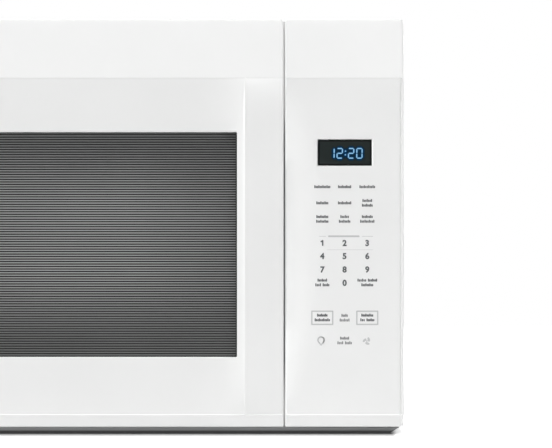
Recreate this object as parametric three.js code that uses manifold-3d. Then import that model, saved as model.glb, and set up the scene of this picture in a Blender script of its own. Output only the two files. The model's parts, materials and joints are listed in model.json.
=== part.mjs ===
// An over-the-range microwave oven with a built-in hood, white, 30 inches wide.
//
// Millimetres, +Z up, the front faces -Y and +X is to the right as seen from the front. The origin is at
// the middle of the base. The door is hinged on the left; its right edge bows forward into a handle, and the
// control panel beside it is scooped so that fingers reach behind that edge.

import * as THREE from 'three';
import { mergeVertices } from 'three/addons/utils/BufferGeometryUtils.js';
import Module from 'manifold-3d';

const wasm = await Module();
wasm.setup();

// ---------------------------------------------------------------- driving dimensions

// The whole.
const WIDTH = 759;
const DEPTH = 395;
const HEIGHT = 434;
const FIT = 0.3; // gap between pieces that touch
const SHEET = 1.2; // steel of the case
const CASE_CORNER = 3; // bend radius along the top edges of the case

// Base tray.
const TRAY_HEIGHT = 6.2;
const TRAY_INSET = 4.5; // tray rim in from the case sides
const TRAY_SLOPE = 9.4; // how far the sloping lip runs in under the case
const TRAY_FRONT = 16.5; // tray rim behind the handle crest
const CASE_LIP = 13.5; // inward flange along the case bottom

// Door and control panel.
const PANEL_WIDTH = 123.9;
const SEAM = 2.4;
const UNDER_GAP = 1; // tray rim to door bottom
const FRONT_THICKNESS = 33; // face to back of door and panel
const DOOR_GAP = 2.5; // door back to front plate
const HANDLE_BOW = 8; // handle crest in front of the face
const HANDLE_ARCH = 10; // power of the bow: the crest runs nearly straight and falls off at the folds
const HANDLE_WIDTH = 39.6; // crest to the door's right edge
const SWEEP_WIDTH = 34; // hollow sweep left of the crest
const SWEEP_CURVE = 2; // power of the sweep's rise
const TOP_BAND = 62.3;
const TOP_LEAN = 18;
const CHIN = 14.4;
const CHIN_LEAN = 4;
const LOWER_SWEEP = 4; // the face comes forward this much towards the chin
const LOWER_SWEEP_HEIGHT = 58.4;
const SKIN = 2.5; // moulding wall
const RIM = 3; // moulding side wall
const EDGE_ROUND = 3;
const CORNER_ROUND = 4;
const SCOOP_DEPTH = 14;
const SCOOP_WIDTH = 44;
const SCOOP_START = 15.4; // above the chin fold
const SCOOP_END = 10.7; // below the top fold
const POCKET_DEPTH = 12; // finger pocket behind the handle edge
const POCKET_LIP = 9.5; // handle lip in front of the pocket, at the crest
const POCKET_OPENING = 12;
const POCKET_LOW = 110;
const POCKET_HIGH = 285;

// Oven cavity.
const CAVITY_LEFT = 44.5; // cavity in from the case's left side
const BAY_WIDTH = 179.5; // component bay between the cavity and the case's right side
const LOFT_HEIGHT = 118; // space for the blower above the cavity
const CAVITY_BEHIND = 10.5; // cavity's back to the rear panel
const CAVITY_FLOOR = 76;
const LINER = 1;

// Door inside.
const WINDOW_IN = 16; // window's left edge in over the cavity
const WINDOW_OUT = 5; // window's right edge out past the cavity
const WINDOW_RAISE = 4.2; // window above the cavity floor
const WINDOW_DROP = 1; // window below the cavity top
const WINDOW_FLANGE = 8;
const GLASS = 2.5;
const COVER = 1.5;
const CHOKE_DEPTH = 16.5;
const CHOKE_WIDTH = 24;
const CHOKE_WALL = 1.5;
const CHOKE_OVERLAP = 5; // choke ring in over the cavity opening
const SCREEN = 0.8;
const INNER_PANEL = 3;
const HOLLOW_END = 20.2; // solid handle column at the door's right edge

// Hinges.
const HINGE_INSET = 9; // axis in from the door's left edge
const HINGE_BEHIND = 12; // axis in front of the front plate
const HINGE_PIN = 3; // radius
const HINGE_PIN_LENGTH = 14.5;
const HINGE_LEAF = 3;
const HINGE_END = 5.5; // radius of the leaf's round end
const HINGE_RAISE = 17.3; // lower leaf above the door's bottom edge
const HINGE_DROP = 29.5; // upper leaf below the door's top edge
const HINGE_ROUND = 5; // rear left edge of the door
const HINGE_BLOCK = 27.5; // width of the door's hinge blocks
const PLAY = 0.7; // leaf in its slot
const SWING_ROOM = 2.6; // in front of the leaf, for a door that opens past a right angle

// Latch.
const LATCH_FROM_EDGE = 29; // hooks in from the door's right edge
const LATCH_LOW = 140;
const LATCH_HIGH = 262;
const HOOK_THICK = 4.5;
const HOOK_HEIGHT = 8;
const HOOK_REACH = 32; // hook tip behind the door
const HOOK_LIP = 3;
const LATCH_TRAVEL = 5;
const SWITCH_LENGTH = 28;
const SWITCH_HEIGHT = 18;
const SWITCH_THICK = 10;

// Turntable.
const TRAY_CLEARANCE = 9; // glass tray to the cavity's back
const TRAY_GLASS = 5;
const TRAY_DISH = 10;
const ROLLER_RADIUS = 8;
const ROLLER_INSET = 49; // roller circle in from the glass tray's edge
const ROLLER_LENGTH = 9;
const ROLLERS = 3;
const AXLE = 2.2;
const RING_SECTION = 6;

// Hood.
const FILTER_WIDTH = 236;
const FILTER_DEPTH = 150;
const FILTER_THICK = 6.5;
const FILTER_OVERLAP = 10; // filter over the edge of its opening
const FILTER_TRAVEL = 12;
const FILTER_SPACING = 275;
const FILTER_SLATS = 8;
const FILTER_SEAT = 6; // rim round each filter opening, on which the filter lies
const SLOT_INSET = 99.5; // outermost air slot in from the case side
const LENS_WIDTH = 70;
const LENS_DEPTH = 46;
const BLOWER_RADIUS = 44;
const BLOWER_WHEEL = 62;
const BLOWER_SPACING = 162; // centre to centre of the two wheels
const BLOWER_BLADES = 20;
const VENT_DEPTH = 57;
const VENT_VANES = 32;
const CHARCOAL_WIDTH = 280;
const CHARCOAL_THICK = 10;

// Display and keys.
const DISPLAY_LEFT = 33.8; // from the panel's left edge
const DISPLAY_WIDTH = 56.4;
const DISPLAY_DROP = 64.5; // below the top fold
const DISPLAY_HEIGHT = 27;
const BOARD = 1.6;

// ---------------------------------------------------------------- derived places

const caseLeft = -WIDTH / 2;
const caseRight = WIDTH / 2;
const crestY = -DEPTH / 2;
const faceY = crestY + HANDLE_BOW;
const doorBackY = faceY + FRONT_THICKNESS;
const plateY = doorBackY + DOOR_GAP;
const insideY = plateY + SHEET + FIT; // first clear plane behind the front plate
const rearY = DEPTH / 2;
const caseRearY = rearY - SHEET - FIT;

const frontBottom = TRAY_HEIGHT + UNDER_GAP;
const frontTop = HEIGHT;
const topFold = frontTop - TOP_BAND;
const chinFold = frontBottom + CHIN;
const caseTop = HEIGHT - 1.5;
const ceiling = caseTop - SHEET;
const trayFloor = SHEET + FIT; // first clear plane above the tray's sheet

const panelLeft = caseRight - PANEL_WIDTH;
const doorRight = panelLeft - SEAM;
const crestX = doorRight - HANDLE_WIDTH;

const cavityLeft = caseLeft + CAVITY_LEFT;
const cavityRight = caseRight - BAY_WIDTH;
const cavityTop = HEIGHT - LOFT_HEIGHT;
const cavityRearY = caseRearY - CAVITY_BEHIND;
const bayLeft = cavityRight + LINER + FIT; // component bay to the right of the cavity
const bayRight = caseRight - SHEET - FIT;
const loft = cavityTop + LINER + FIT; // first clear plane above the cavity

const turnX = (cavityLeft + cavityRight) / 2;
const turnY = (insideY + cavityRearY) / 2;
const trayRadius = (cavityRearY - insideY) / 2 - TRAY_CLEARANCE;
const rollerCircle = trayRadius - ROLLER_INSET;
const rollerZ = CAVITY_FLOOR + FIT + ROLLER_RADIUS;
const trayZ = rollerZ + ROLLER_RADIUS + FIT;

const hingeX = caseLeft + HINGE_INSET;
const hingeY = plateY - HINGE_BEHIND;

// ---------------------------------------------------------------- finishes

const finish = (color, roughness, metalness = 0, opacity = 1) => new THREE.MeshStandardMaterial({
  color, roughness, metalness, opacity, transparent: opacity < 1,
});

const WHITE = finish('#e9ebea', 0.35);
const CASE_WHITE = finish('#e4e5e4', 0.5);
const CHARCOAL = finish('#3a3c3d', 0.55, 0.2);
const CAVITY = finish('#c9cac8', 0.5);
const STEEL = finish('#a9adb0', 0.4, 0.9);
const GLOSS_BLACK = finish('#15181a', 0.12);
const DARK_GLASS = finish('#3c4042', 0.15);
const CLEAR_GLASS = finish('#dfe8e8', 0.05, 0, 0.35);
const GREY_PLASTIC = finish('#8b8f90', 0.6);
const BLACK_PLASTIC = finish('#26282a', 0.6);
const CREAM_PLASTIC = finish('#dcd8c6', 0.55);
const COPPER = finish('#a8623a', 0.45, 0.7);
const IRON = finish('#5b5d60', 0.6, 0.6);
const ALUMINIUM = finish('#b9bcbd', 0.4, 0.9);
const MICA = finish('#a49d84', 0.7);
const BOARD_GREEN = finish('#2f6a45', 0.6);
const CARBON = finish('#232323', 0.95);
const RUBBER = finish('#1f1f20', 0.9);

// ---------------------------------------------------------------- solids

/** A closed geometry as a solid: shared corners merged, slivers dropped, faces turned outwards. */
function solid(geometry) {
  const plain = geometry.clone();
  plain.deleteAttribute('normal');
  plain.deleteAttribute('uv');
  const merged = mergeVertices(plain, 1e-4);
  const corners = merged.index.array;
  const triangles = [];
  for (let i = 0; i < corners.length; i += 3) {
    const [a, b, c] = corners.slice(i, i + 3);
    if (a !== b && b !== c && c !== a) {
      triangles.push([a, b, c]);
    }
  }
  const build = (faces) => new wasm.Manifold(new wasm.Mesh({
    numProp: 3,
    vertProperties: Float32Array.from(merged.attributes.position.array),
    triVerts: Uint32Array.from(faces.flat()),
  }));
  const first = build(triangles);
  return first.volume() > 0 ? first : build(triangles.map(([a, b, c]) => [a, c, b]));
}

const asSolid = (shape) => (shape.isBufferGeometry ? solid(shape) : shape);
const join = (...shapes) => shapes.map(asSolid).reduce((whole, piece) => whole.add(piece));
const cut = (base, ...tools) => tools.map(asSolid).reduce((left, tool) => left.subtract(tool), asSolid(base));
const common = (first, second) => asSolid(first).intersect(asSolid(second));

/** A named mesh made of one solid. */
function node(name, shape, material) {
  const surface = asSolid(shape).getMesh();
  const geometry = new THREE.BufferGeometry();
  geometry.setAttribute('position', new THREE.BufferAttribute(surface.vertProperties, surface.numProp));
  geometry.setIndex(new THREE.BufferAttribute(surface.triVerts, 1));
  geometry.computeVertexNormals();
  const mesh = new THREE.Mesh(geometry, material);
  mesh.name = name;
  return mesh;
}

/** A block between two corners, given as the low and high value along each axis. */
function block(x0, x1, y0, y1, z0, z1) {
  const geometry = new THREE.BoxGeometry(x1 - x0, y1 - y0, z1 - z0);
  return geometry.translate((x0 + x1) / 2, (y0 + y1) / 2, (z0 + z1) / 2);
}

/** A block centred on x and y, standing between two heights. */
const pad = (x, y, width, depth, z0, z1) => (
  block(x - width / 2, x + width / 2, y - depth / 2, y + depth / 2, z0, z1)
);

/** A round bar along X, Y or Z from low to high; a and b place its centre on the other two axes, in order. */
function bar(axis, radius, low, high, a, b, sides = 16) {
  const geometry = new THREE.CylinderGeometry(radius, radius, high - low, sides);
  const middle = (low + high) / 2;
  if (axis === 'x') {
    return geometry.rotateZ(-Math.PI / 2).translate(middle, a, b);
  }
  if (axis === 'y') {
    return geometry.translate(a, middle, b);
  }
  return geometry.rotateX(Math.PI / 2).translate(a, b, middle);
}

/** An outline extruded along an axis: (y, z) along X, (x, z) along Y, or (x, y) along Z. */
function prism(axis, outline, low, high, curveSegments = 6) {
  const shape = outline instanceof THREE.Shape
    ? outline
    : new THREE.Shape(outline.map(([a, b]) => new THREE.Vector2(a, b)));
  const geometry = new THREE.ExtrudeGeometry(shape, {
    depth: high - low,
    bevelEnabled: false,
    curveSegments,
  });
  if (axis === 'x') {
    const turn = new THREE.Matrix4().makeBasis(
      new THREE.Vector3(0, 1, 0),
      new THREE.Vector3(0, 0, 1),
      new THREE.Vector3(1, 0, 0),
    );
    return geometry.applyMatrix4(turn).translate(low, 0, 0);
  }
  if (axis === 'y') {
    return geometry.rotateX(Math.PI / 2).translate(0, high, 0);
  }
  return geometry.translate(0, 0, low);
}

/** A rectangle with its four corners rounded, as an outline. */
function rounded(a0, a1, b0, b1, radius) {
  const shape = new THREE.Shape();
  shape.moveTo(a0 + radius, b0);
  shape.lineTo(a1 - radius, b0);
  shape.absarc(a1 - radius, b0 + radius, radius, -Math.PI / 2, 0, false);
  shape.absarc(a1 - radius, b1 - radius, radius, 0, Math.PI / 2, false);
  shape.absarc(a0 + radius, b1 - radius, radius, Math.PI / 2, Math.PI, false);
  shape.absarc(a0 + radius, b0 + radius, radius, Math.PI, Math.PI * 1.5, false);
  return shape;
}

/** A profile of [radius, height] points turned round the vertical through (x, y). */
function turned(profile, x, y, sides = 32) {
  const points = profile.map(([radius, height]) => new THREE.Vector2(radius, height));
  return new THREE.LatheGeometry(points, sides).rotateX(Math.PI / 2).translate(x, y, 0);
}

/** A sheet-metal tray's block: one rectangle at the bottom, a larger one at the top. */
function tapered(x, y0, y1, inset, z0, z1) {
  const side = [[-x, z1], [-x + inset, z0], [x - inset, z0], [x, z1]];
  const front = [[y0, z1], [y0 + inset, z0], [y1, z0], [y1, z1]];
  return common(prism('y', side, y0, y1), prism('x', front, -x, x));
}

/** Evenly spread values, both ends included. */
const spread = (low, high, steps) => (
  Array.from({ length: steps + 1 }, (_, i) => low + ((high - low) * i) / steps)
);

/** Values in order, without repeats. */
const inOrder = (values) => [...values]
  .sort((a, b) => a - b)
  .filter((value, i, all) => i === 0 || value - all[i - 1] > 0.05);

/** Grid lines across an edge rounded to a radius, going in from the edge. */
const roundSteps = (edge, radius, towards) => [0, 45, 90]
  .map((degrees) => edge + towards * radius * (1 - Math.cos((degrees * Math.PI) / 180)));

/** How far an edge rounded to a radius has dropped back, at a distance in from that edge. */
const roundDrop = (distance, radius) => (
  distance >= radius ? 0 : radius - Math.sqrt(radius ** 2 - (radius - Math.max(distance, 0)) ** 2)
);

/** A closed block with a moulded front, y = front(x, z), on a grid of x and z values, and a flat back. */
function moulding(xs, zs, front, backY) {
  const points = [];
  const faces = [];
  zs.forEach((z) => xs.forEach((x) => points.push([x, front(x, z), z])));
  const at = (i, j) => j * xs.length + i;
  for (let j = 0; j < zs.length - 1; j += 1) {
    for (let i = 0; i < xs.length - 1; i += 1) {
      faces.push([at(i, j), at(i + 1, j), at(i + 1, j + 1)]);
      faces.push([at(i, j), at(i + 1, j + 1), at(i, j + 1)]);
    }
  }
  const lastX = xs.length - 1;
  const lastZ = zs.length - 1;
  const loop = [
    ...xs.slice(0, -1).map((_, i) => at(i, 0)),
    ...zs.slice(0, -1).map((_, j) => at(lastX, j)),
    ...xs.slice(0, -1).map((_, i) => at(lastX - i, lastZ)),
    ...zs.slice(0, -1).map((_, j) => at(0, lastZ - j)),
  ];
  const behind = points.length;
  loop.forEach((corner) => points.push([points[corner][0], backY, points[corner][2]]));
  const middle = points.length;
  points.push([(xs[0] + xs[lastX]) / 2, backY, (zs[0] + zs[lastZ]) / 2]);
  loop.forEach((corner, i) => {
    const next = (i + 1) % loop.length;
    faces.push([corner, behind + i, loop[next]]);
    faces.push([loop[next], behind + i, behind + next]);
    faces.push([middle, behind + next, behind + i]);
  });
  const geometry = new THREE.BufferGeometry();
  geometry.setAttribute('position', new THREE.Float32BufferAttribute(points.flat(), 3));
  geometry.setIndex(faces.flat());
  return geometry;
}

// ---------------------------------------------------------------- the moulded front

/** How far the flat face lies behind the handle crest, at a height: chin, face and leaning top band. */
function faceDepth(z) {
  let depth = HANDLE_BOW;
  if (z > topFold) {
    depth += (TOP_LEAN * (z - topFold)) / TOP_BAND;
  }
  const sweepTop = chinFold + LOWER_SWEEP_HEIGHT;
  if (z < sweepTop) {
    depth -= LOWER_SWEEP * ((sweepTop - Math.max(z, chinFold)) / LOWER_SWEEP_HEIGHT) ** 2;
  }
  if (z < chinFold) {
    depth += (CHIN_LEAN * (chinFold - z)) / CHIN;
  }
  return depth;
}

/** How far the handle crest stands out from the face, at a height: most between the folds, nothing at them. */
function handleBow(z) {
  const middle = (topFold + chinFold) / 2;
  const across = (z - middle) / ((topFold - chinFold) / 2);
  return Math.abs(across) >= 1 ? 0 : HANDLE_BOW * (1 - across ** HANDLE_ARCH);
}

/** Rounding of the outer edges of a piece of the front. */
const edgeDrop = (x, z, left, right) => (
  roundDrop(Math.min(x - left, right - x), EDGE_ROUND)
  + roundDrop(Math.min(frontTop - z, z - frontBottom), EDGE_ROUND)
);

/** The door's front surface: a face that sweeps up to the crest, and the handle band right of it. */
function doorFront(x, z) {
  const bow = handleBow(z);
  let rise = 0;
  if (x >= crestX) {
    rise = bow * (1 - (0.2 * (x - crestX)) / HANDLE_WIDTH);
  } else if (crestX - x < SWEEP_WIDTH) {
    rise = bow * (1 - (crestX - x) / SWEEP_WIDTH) ** SWEEP_CURVE;
  }
  return crestY + faceDepth(z) - rise + edgeDrop(x, z, caseLeft, doorRight);
}

/** The control panel's front surface: the same face with the finger scoop along its left edge. */
function panelFront(x, z) {
  const scoopLow = chinFold + SCOOP_START;
  const scoopHigh = topFold - SCOOP_END;
  const across = (z - (scoopHigh + scoopLow) / 2) / ((scoopHigh - scoopLow) / 2);
  let scoop = 0;
  if (Math.abs(across) < 1) {
    const width = SCOOP_WIDTH * (1 - across ** 2) ** 0.5;
    const share = (x - panelLeft) / width;
    scoop = share < 1 ? SCOOP_DEPTH * (1 - across ** 2) ** 0.8 * (1 - share) ** 2 : 0;
  }
  return crestY + faceDepth(z) + scoop + edgeDrop(x, z, panelLeft, caseRight);
}

/** Heights of the grid lines shared by door and panel: edges, folds, and the bowed stretch between. */
const frontHeights = (low, high, steps) => inOrder([
  ...roundSteps(low, EDGE_ROUND, 1),
  chinFold,
  ...spread(chinFold, topFold, steps),
  topFold,
  ...roundSteps(high, EDGE_ROUND, -1),
]);

/** The outline of a front piece, its corners rounded, as a prism through the piece's whole thickness. */
const frontOutline = (left, right) => prism(
  'y',
  rounded(left, right, frontBottom, frontTop, CORNER_ROUND),
  crestY - HANDLE_BOW,
  plateY,
  4,
);

/** The door's hinge blocks, slots and pin bores, as [blocks, cuts], for the upper and the lower hinge. */
function hingeFeatures(outer) {
  const inner = caseLeft + HINGE_BLOCK;
  const slotFront = hingeY - HINGE_END - SWING_ROOM;
  const slot = (z0, z1) => block(caseLeft - 1, hingeX + HINGE_END + PLAY, slotFront, doorBackY + 1, z0, z1);
  const bore = (z0, z1) => bar('z', HINGE_PIN + 0.4, z0, z1, hingeX, hingeY, 24);
  const upper = frontTop - HINGE_DROP;
  const lower = frontBottom + HINGE_RAISE + HINGE_LEAF;
  const reach = HINGE_PIN_LENGTH + 1.5;
  const blocks = [
    common(outer, block(caseLeft + 1, inner, crestY, doorBackY, upper - 21, frontTop - 1)),
    common(outer, block(caseLeft + 1, inner, crestY, doorBackY, frontBottom + 1, lower + 20)),
  ];
  const cuts = [
    slot(upper - HINGE_LEAF - PLAY, upper + PLAY),
    slot(lower - HINGE_LEAF - PLAY, lower + PLAY),
    bore(upper - HINGE_LEAF - reach, upper),
    bore(lower - HINGE_LEAF, lower + reach),
  ];
  return { blocks, cuts };
}

function doorFrame() {
  const xs = inOrder([
    ...roundSteps(caseLeft, EDGE_ROUND, 1),
    ...spread(crestX - SWEEP_WIDTH, crestX, 5),
    ...spread(crestX, doorRight - EDGE_ROUND, 2),
    ...roundSteps(doorRight, EDGE_ROUND, -1),
  ]);
  const outer = common(
    moulding(xs, frontHeights(frontBottom, frontTop, 11), doorFront, doorBackY),
    frontOutline(caseLeft, doorRight),
  );
  const hollow = moulding(
    inOrder([caseLeft + RIM, ...spread(crestX - SWEEP_WIDTH, crestX, 3), doorRight - HOLLOW_END]),
    inOrder([frontBottom + RIM, ...spread(chinFold, topFold, 6), frontTop - RIM]),
    (x, z) => doorFront(x, z) + SKIN,
    doorBackY + 1,
  );
  const window = windowBlock(0, crestY - 1, doorBackY);
  const pocketY = crestY + POCKET_LIP;
  const pocket = prism(
    'x',
    rounded(pocketY, pocketY + POCKET_OPENING, POCKET_LOW, POCKET_HIGH, 5),
    doorRight - POCKET_DEPTH,
    doorRight + 1,
    3,
  );
  const rearEdge = new THREE.Shape();
  rearEdge.moveTo(caseLeft - 1, doorBackY + 1);
  rearEdge.lineTo(caseLeft - 1, doorBackY - HINGE_ROUND);
  rearEdge.lineTo(caseLeft, doorBackY - HINGE_ROUND);
  rearEdge.absarc(caseLeft + HINGE_ROUND, doorBackY - HINGE_ROUND, HINGE_ROUND, Math.PI, Math.PI / 2, true);
  rearEdge.lineTo(caseLeft + HINGE_ROUND, doorBackY + 1);
  const { blocks, cuts } = hingeFeatures(outer);
  const shell = cut(outer, hollow, window);
  return cut(join(shell, ...blocks), pocket, prism('z', rearEdge, 0, HEIGHT, 4), ...cuts);
}

const windowLeft = cavityLeft + WINDOW_IN;
const windowRight = cavityRight + WINDOW_OUT;
const windowBottom = CAVITY_FLOOR + WINDOW_RAISE;
const windowTop = cavityTop - WINDOW_DROP;
const chokeInner = {
  left: cavityLeft + CHOKE_OVERLAP,
  right: cavityRight - CHOKE_OVERLAP,
  bottom: CAVITY_FLOOR + CHOKE_OVERLAP,
  top: cavityTop - CHOKE_OVERLAP,
};

/** A block over the choke's inner opening, grown outwards by a margin. */
const chokeBlock = (margin, y0, y1) => block(
  chokeInner.left - margin,
  chokeInner.right + margin,
  y0,
  y1,
  chokeInner.bottom - margin,
  chokeInner.top + margin,
);

/** A block over the window, grown outwards by a margin. */
const windowBlock = (margin, y0, y1) => block(
  windowLeft - margin,
  windowRight + margin,
  y0,
  y1,
  windowBottom - margin,
  windowTop + margin,
);

const coverBackY = doorBackY - FIT;
const coverFrontY = coverBackY - COVER;
const chokeBackY = coverFrontY - FIT;
const chokeFrontY = chokeBackY - CHOKE_DEPTH;
const hookX = doorRight - LATCH_FROM_EDGE;
const hookTipY = doorBackY + HOOK_REACH;

function doorWindow() {
  const seatY = faceY + SKIN + FIT;
  return join(
    windowBlock(-FIT, faceY + FIT, seatY + GLASS),
    windowBlock(WINDOW_FLANGE, seatY, seatY + GLASS),
  );
}

function doorChoke() {
  const ring = cut(
    chokeBlock(CHOKE_WIDTH, chokeFrontY, chokeBackY),
    chokeBlock(0, chokeFrontY - 1, chokeBackY + 1),
  );
  const grooveFront = chokeFrontY + CHOKE_WALL;
  const groove = cut(
    chokeBlock(CHOKE_WIDTH - CHOKE_WALL, grooveFront, chokeBackY + 1),
    chokeBlock(CHOKE_WALL, grooveFront - 1, chokeBackY + 2),
  );
  return cut(ring, groove);
}

function doorBackCover() {
  const inside = RIM + FIT;
  const plate = block(
    caseLeft + inside,
    doorRight - HOLLOW_END - FIT,
    coverFrontY,
    coverBackY,
    frontBottom + inside,
    frontTop - inside,
  );
  const blockEdge = caseLeft + HINGE_BLOCK + FIT;
  const upper = frontTop - HINGE_DROP - 21 - FIT;
  const lower = frontBottom + HINGE_RAISE + HINGE_LEAF + 20 + FIT;
  const hookSlots = [LATCH_LOW, LATCH_HIGH].map((z) => block(
    hookX - HOOK_THICK / 2 - 1,
    hookX + HOOK_THICK / 2 + 1,
    coverFrontY - 1,
    coverBackY + 1,
    z - HOOK_HEIGHT / 2 - 1,
    z + HOOK_HEIGHT / 2 + LATCH_TRAVEL + 1,
  ));
  return cut(
    plate,
    chokeBlock(0, coverFrontY - 1, coverBackY + 1),
    block(caseLeft, blockEdge, coverFrontY - 1, coverBackY + 1, upper, frontTop),
    block(caseLeft, blockEdge, coverFrontY - 1, coverBackY + 1, frontBottom, lower),
    ...hookSlots,
  );
}

/** The latch: an upright bar in the door, with two hooks that pass through the cover into the front plate. */
function doorLatch() {
  const backY = coverFrontY - FIT;
  const rod = block(hookX - 3, hookX + 3, backY - 9, backY, LATCH_LOW - 15, LATCH_HIGH + 15);
  const hooks = [LATCH_LOW, LATCH_HIGH].flatMap((z) => {
    const low = z - HOOK_HEIGHT / 2;
    const outline = [
      [backY - 2, low],
      [hookTipY - 6, low],
      [hookTipY - 6, low - HOOK_LIP],
      [hookTipY - 2, low - HOOK_LIP],
      [hookTipY, low + HOOK_HEIGHT / 2],
      [hookTipY - 2, low + HOOK_HEIGHT],
      [backY - 2, low + HOOK_HEIGHT],
    ];
    return prism('x', outline, hookX - HOOK_THICK / 2, hookX + HOOK_THICK / 2);
  });
  return join(rod, ...hooks);
}

function doorParts() {
  const screenBack = chokeFrontY - FIT;
  return [
    node('door_frame', doorFrame(), WHITE),
    node('door_window', doorWindow(), DARK_GLASS),
    node('door_screen', chokeBlock(CHOKE_WIDTH - 2, screenBack - SCREEN, screenBack), BLACK_PLASTIC),
    node('door_choke', doorChoke(), STEEL),
    node('door_back_cover', doorBackCover(), GREY_PLASTIC),
    node('door_inner_panel', chokeBlock(-FIT, coverBackY - INNER_PANEL, coverBackY), CLEAR_GLASS),
    node('door_latch', doorLatch(), GREY_PLASTIC),
  ];
}

// ---------------------------------------------------------------- hinges

/** A hinge: a flange behind the front plate, a leaf forward through it, and the pin on the leaf. */
function hinge(leafZ, pinTowards) {
  const flangeY = insideY + 2;
  const leaf = join(
    bar('z', HINGE_END, leafZ, leafZ + HINGE_LEAF, hingeX, hingeY, 20),
    block(hingeX - HINGE_END, hingeX + HINGE_END, hingeY, flangeY, leafZ, leafZ + HINGE_LEAF),
  );
  const pinEnd = pinTowards > 0 ? leafZ + HINGE_LEAF + HINGE_PIN_LENGTH : leafZ - HINGE_PIN_LENGTH;
  const pinLow = Math.min(leafZ + 1, pinEnd);
  const pinHigh = Math.max(leafZ + 1, pinEnd);
  const pin = bar('z', HINGE_PIN, pinLow, pinHigh, hingeX, hingeY, 20);
  const flangeEnd = pinTowards > 0 ? leafZ + 26 : leafZ + HINGE_LEAF - 26;
  const flange = block(
    hingeX - HINGE_END,
    hingeX + 20,
    insideY,
    flangeY,
    Math.min(leafZ, flangeEnd),
    Math.max(leafZ + HINGE_LEAF, flangeEnd),
  );
  return join(leaf, pin, flange);
}

const upperLeaf = frontTop - HINGE_DROP - HINGE_LEAF;
const lowerLeaf = frontBottom + HINGE_RAISE;

const hingeParts = () => [
  node('upper_hinge', hinge(upperLeaf, -1), STEEL),
  node('lower_hinge', hinge(lowerLeaf, 1), STEEL),
];

// ---------------------------------------------------------------- case

function outerWrap() {
  const foot = TRAY_HEIGHT + FIT;
  const outer = new THREE.Shape();
  outer.moveTo(caseLeft + CASE_LIP, foot);
  outer.lineTo(caseLeft, foot);
  outer.lineTo(caseLeft, caseTop - CASE_CORNER);
  outer.absarc(caseLeft + CASE_CORNER, caseTop - CASE_CORNER, CASE_CORNER, Math.PI, Math.PI / 2, true);
  outer.lineTo(caseRight - CASE_CORNER, caseTop);
  outer.absarc(caseRight - CASE_CORNER, caseTop - CASE_CORNER, CASE_CORNER, Math.PI / 2, 0, true);
  outer.lineTo(caseRight, foot);
  outer.lineTo(caseRight - CASE_LIP, foot);
  outer.lineTo(caseRight - CASE_LIP, foot + SHEET);
  outer.lineTo(caseRight - SHEET, foot + SHEET);
  outer.lineTo(caseRight - SHEET, ceiling);
  outer.lineTo(caseLeft + SHEET, ceiling);
  outer.lineTo(caseLeft + SHEET, foot + SHEET);
  outer.lineTo(caseLeft + CASE_LIP, foot + SHEET);
  return cut(
    prism('y', outer, insideY, caseRearY, 3),
    block(caseLeft + SHEET, caseRight - SHEET, insideY - 1, ventRearY + FIT, ceiling - 1, HEIGHT),
    block(-blowerOuter, -blowerInner, outletFrontY, outletRearY, ceiling - 2, HEIGHT),
    block(blowerInner, blowerOuter, outletFrontY, outletRearY, ceiling - 2, HEIGHT),
    bar('z', BUSHING + FIT, ceiling - 2, HEIGHT, bushingX, bushingY, 20),
  );
}

const BUSHING = 15;
const bushingX = caseRight - 50;
const bushingY = caseRearY - 45;

function cordBushing() {
  const flangeTop = Math.min(caseTop + FIT + 1, HEIGHT);
  return turned([
    [BUSHING / 2, ceiling - 8],
    [BUSHING, ceiling - 8],
    [BUSHING, caseTop + FIT],
    [BUSHING + 5, caseTop + FIT],
    [BUSHING + 5, flangeTop],
    [BUSHING / 2, flangeTop],
    [BUSHING / 2, ceiling - 8],
  ], bushingX, bushingY, 20);
}

function rearPanel() {
  const foot = TRAY_HEIGHT + FIT;
  const plate = block(caseLeft + FIT, caseRight - FIT, caseRearY + FIT, rearY, foot, caseTop);
  const hanging = [-1, 1].map((side) => block(
    side * HANG_SPACING / 2 - 20,
    side * HANG_SPACING / 2 + 20,
    caseRearY - 1,
    rearY + 1,
    HANG_HEIGHT,
    HANG_HEIGHT + 8,
  ));
  const louvres = spread(fanZ - 45, fanZ + 45, 7).map((z) => block(
    fanX - 35,
    fanX + 35,
    caseRearY - 1,
    rearY + 1,
    z - 2,
    z + 2,
  ));
  return cut(plate, ...hanging, ...louvres);
}

const HANG_SPACING = 600;
const HANG_HEIGHT = 30;

function frontPlate() {
  const foot = TRAY_HEIGHT + FIT;
  const through = (x0, x1, z0, z1) => block(x0, x1, plateY - 1, plateY + SHEET + 1, z0, z1);
  const tabHalf = caseRight - TRAY_INSET - TRAY_SLOPE - 2 * SHEET;
  const plate = join(
    block(caseLeft + FIT, caseRight - FIT, plateY, plateY + SHEET, foot, caseTop - 2),
    block(-tabHalf, tabHalf, plateY, plateY + SHEET, trayFloor, foot + 1),
  );
  const leafSlot = (z) => through(
    hingeX - HINGE_END - FIT,
    hingeX + HINGE_END + FIT,
    z - FIT,
    z + HINGE_LEAF + FIT,
  );
  const hookSlot = (z) => through(
    hookX - HOOK_THICK / 2 - 2,
    hookX + HOOK_THICK / 2 + 4,
    z - HOOK_HEIGHT / 2 - HOOK_LIP - 2,
    z + HOOK_HEIGHT / 2 + LATCH_TRAVEL + 2,
  );
  return cut(
    plate,
    through(cavityLeft, cavityRight, CAVITY_FLOOR, cavityTop),
    leafSlot(upperLeaf),
    leafSlot(lowerLeaf),
    hookSlot(LATCH_LOW),
    hookSlot(LATCH_HIGH),
    through(bayRight - 90, bayRight - 40, 190, 230),
  );
}

/** Middle of each grease filter, left then right. */
const filterMiddles = [-1, 1].map((side) => turnX + (side * FILTER_SPACING) / 2);
const filterY = insideY + 12 + FILTER_DEPTH / 2 + FILTER_TRAVEL;
const lampY = filterY + FILTER_DEPTH / 2 + FILTER_TRAVEL + LENS_DEPTH;

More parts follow.
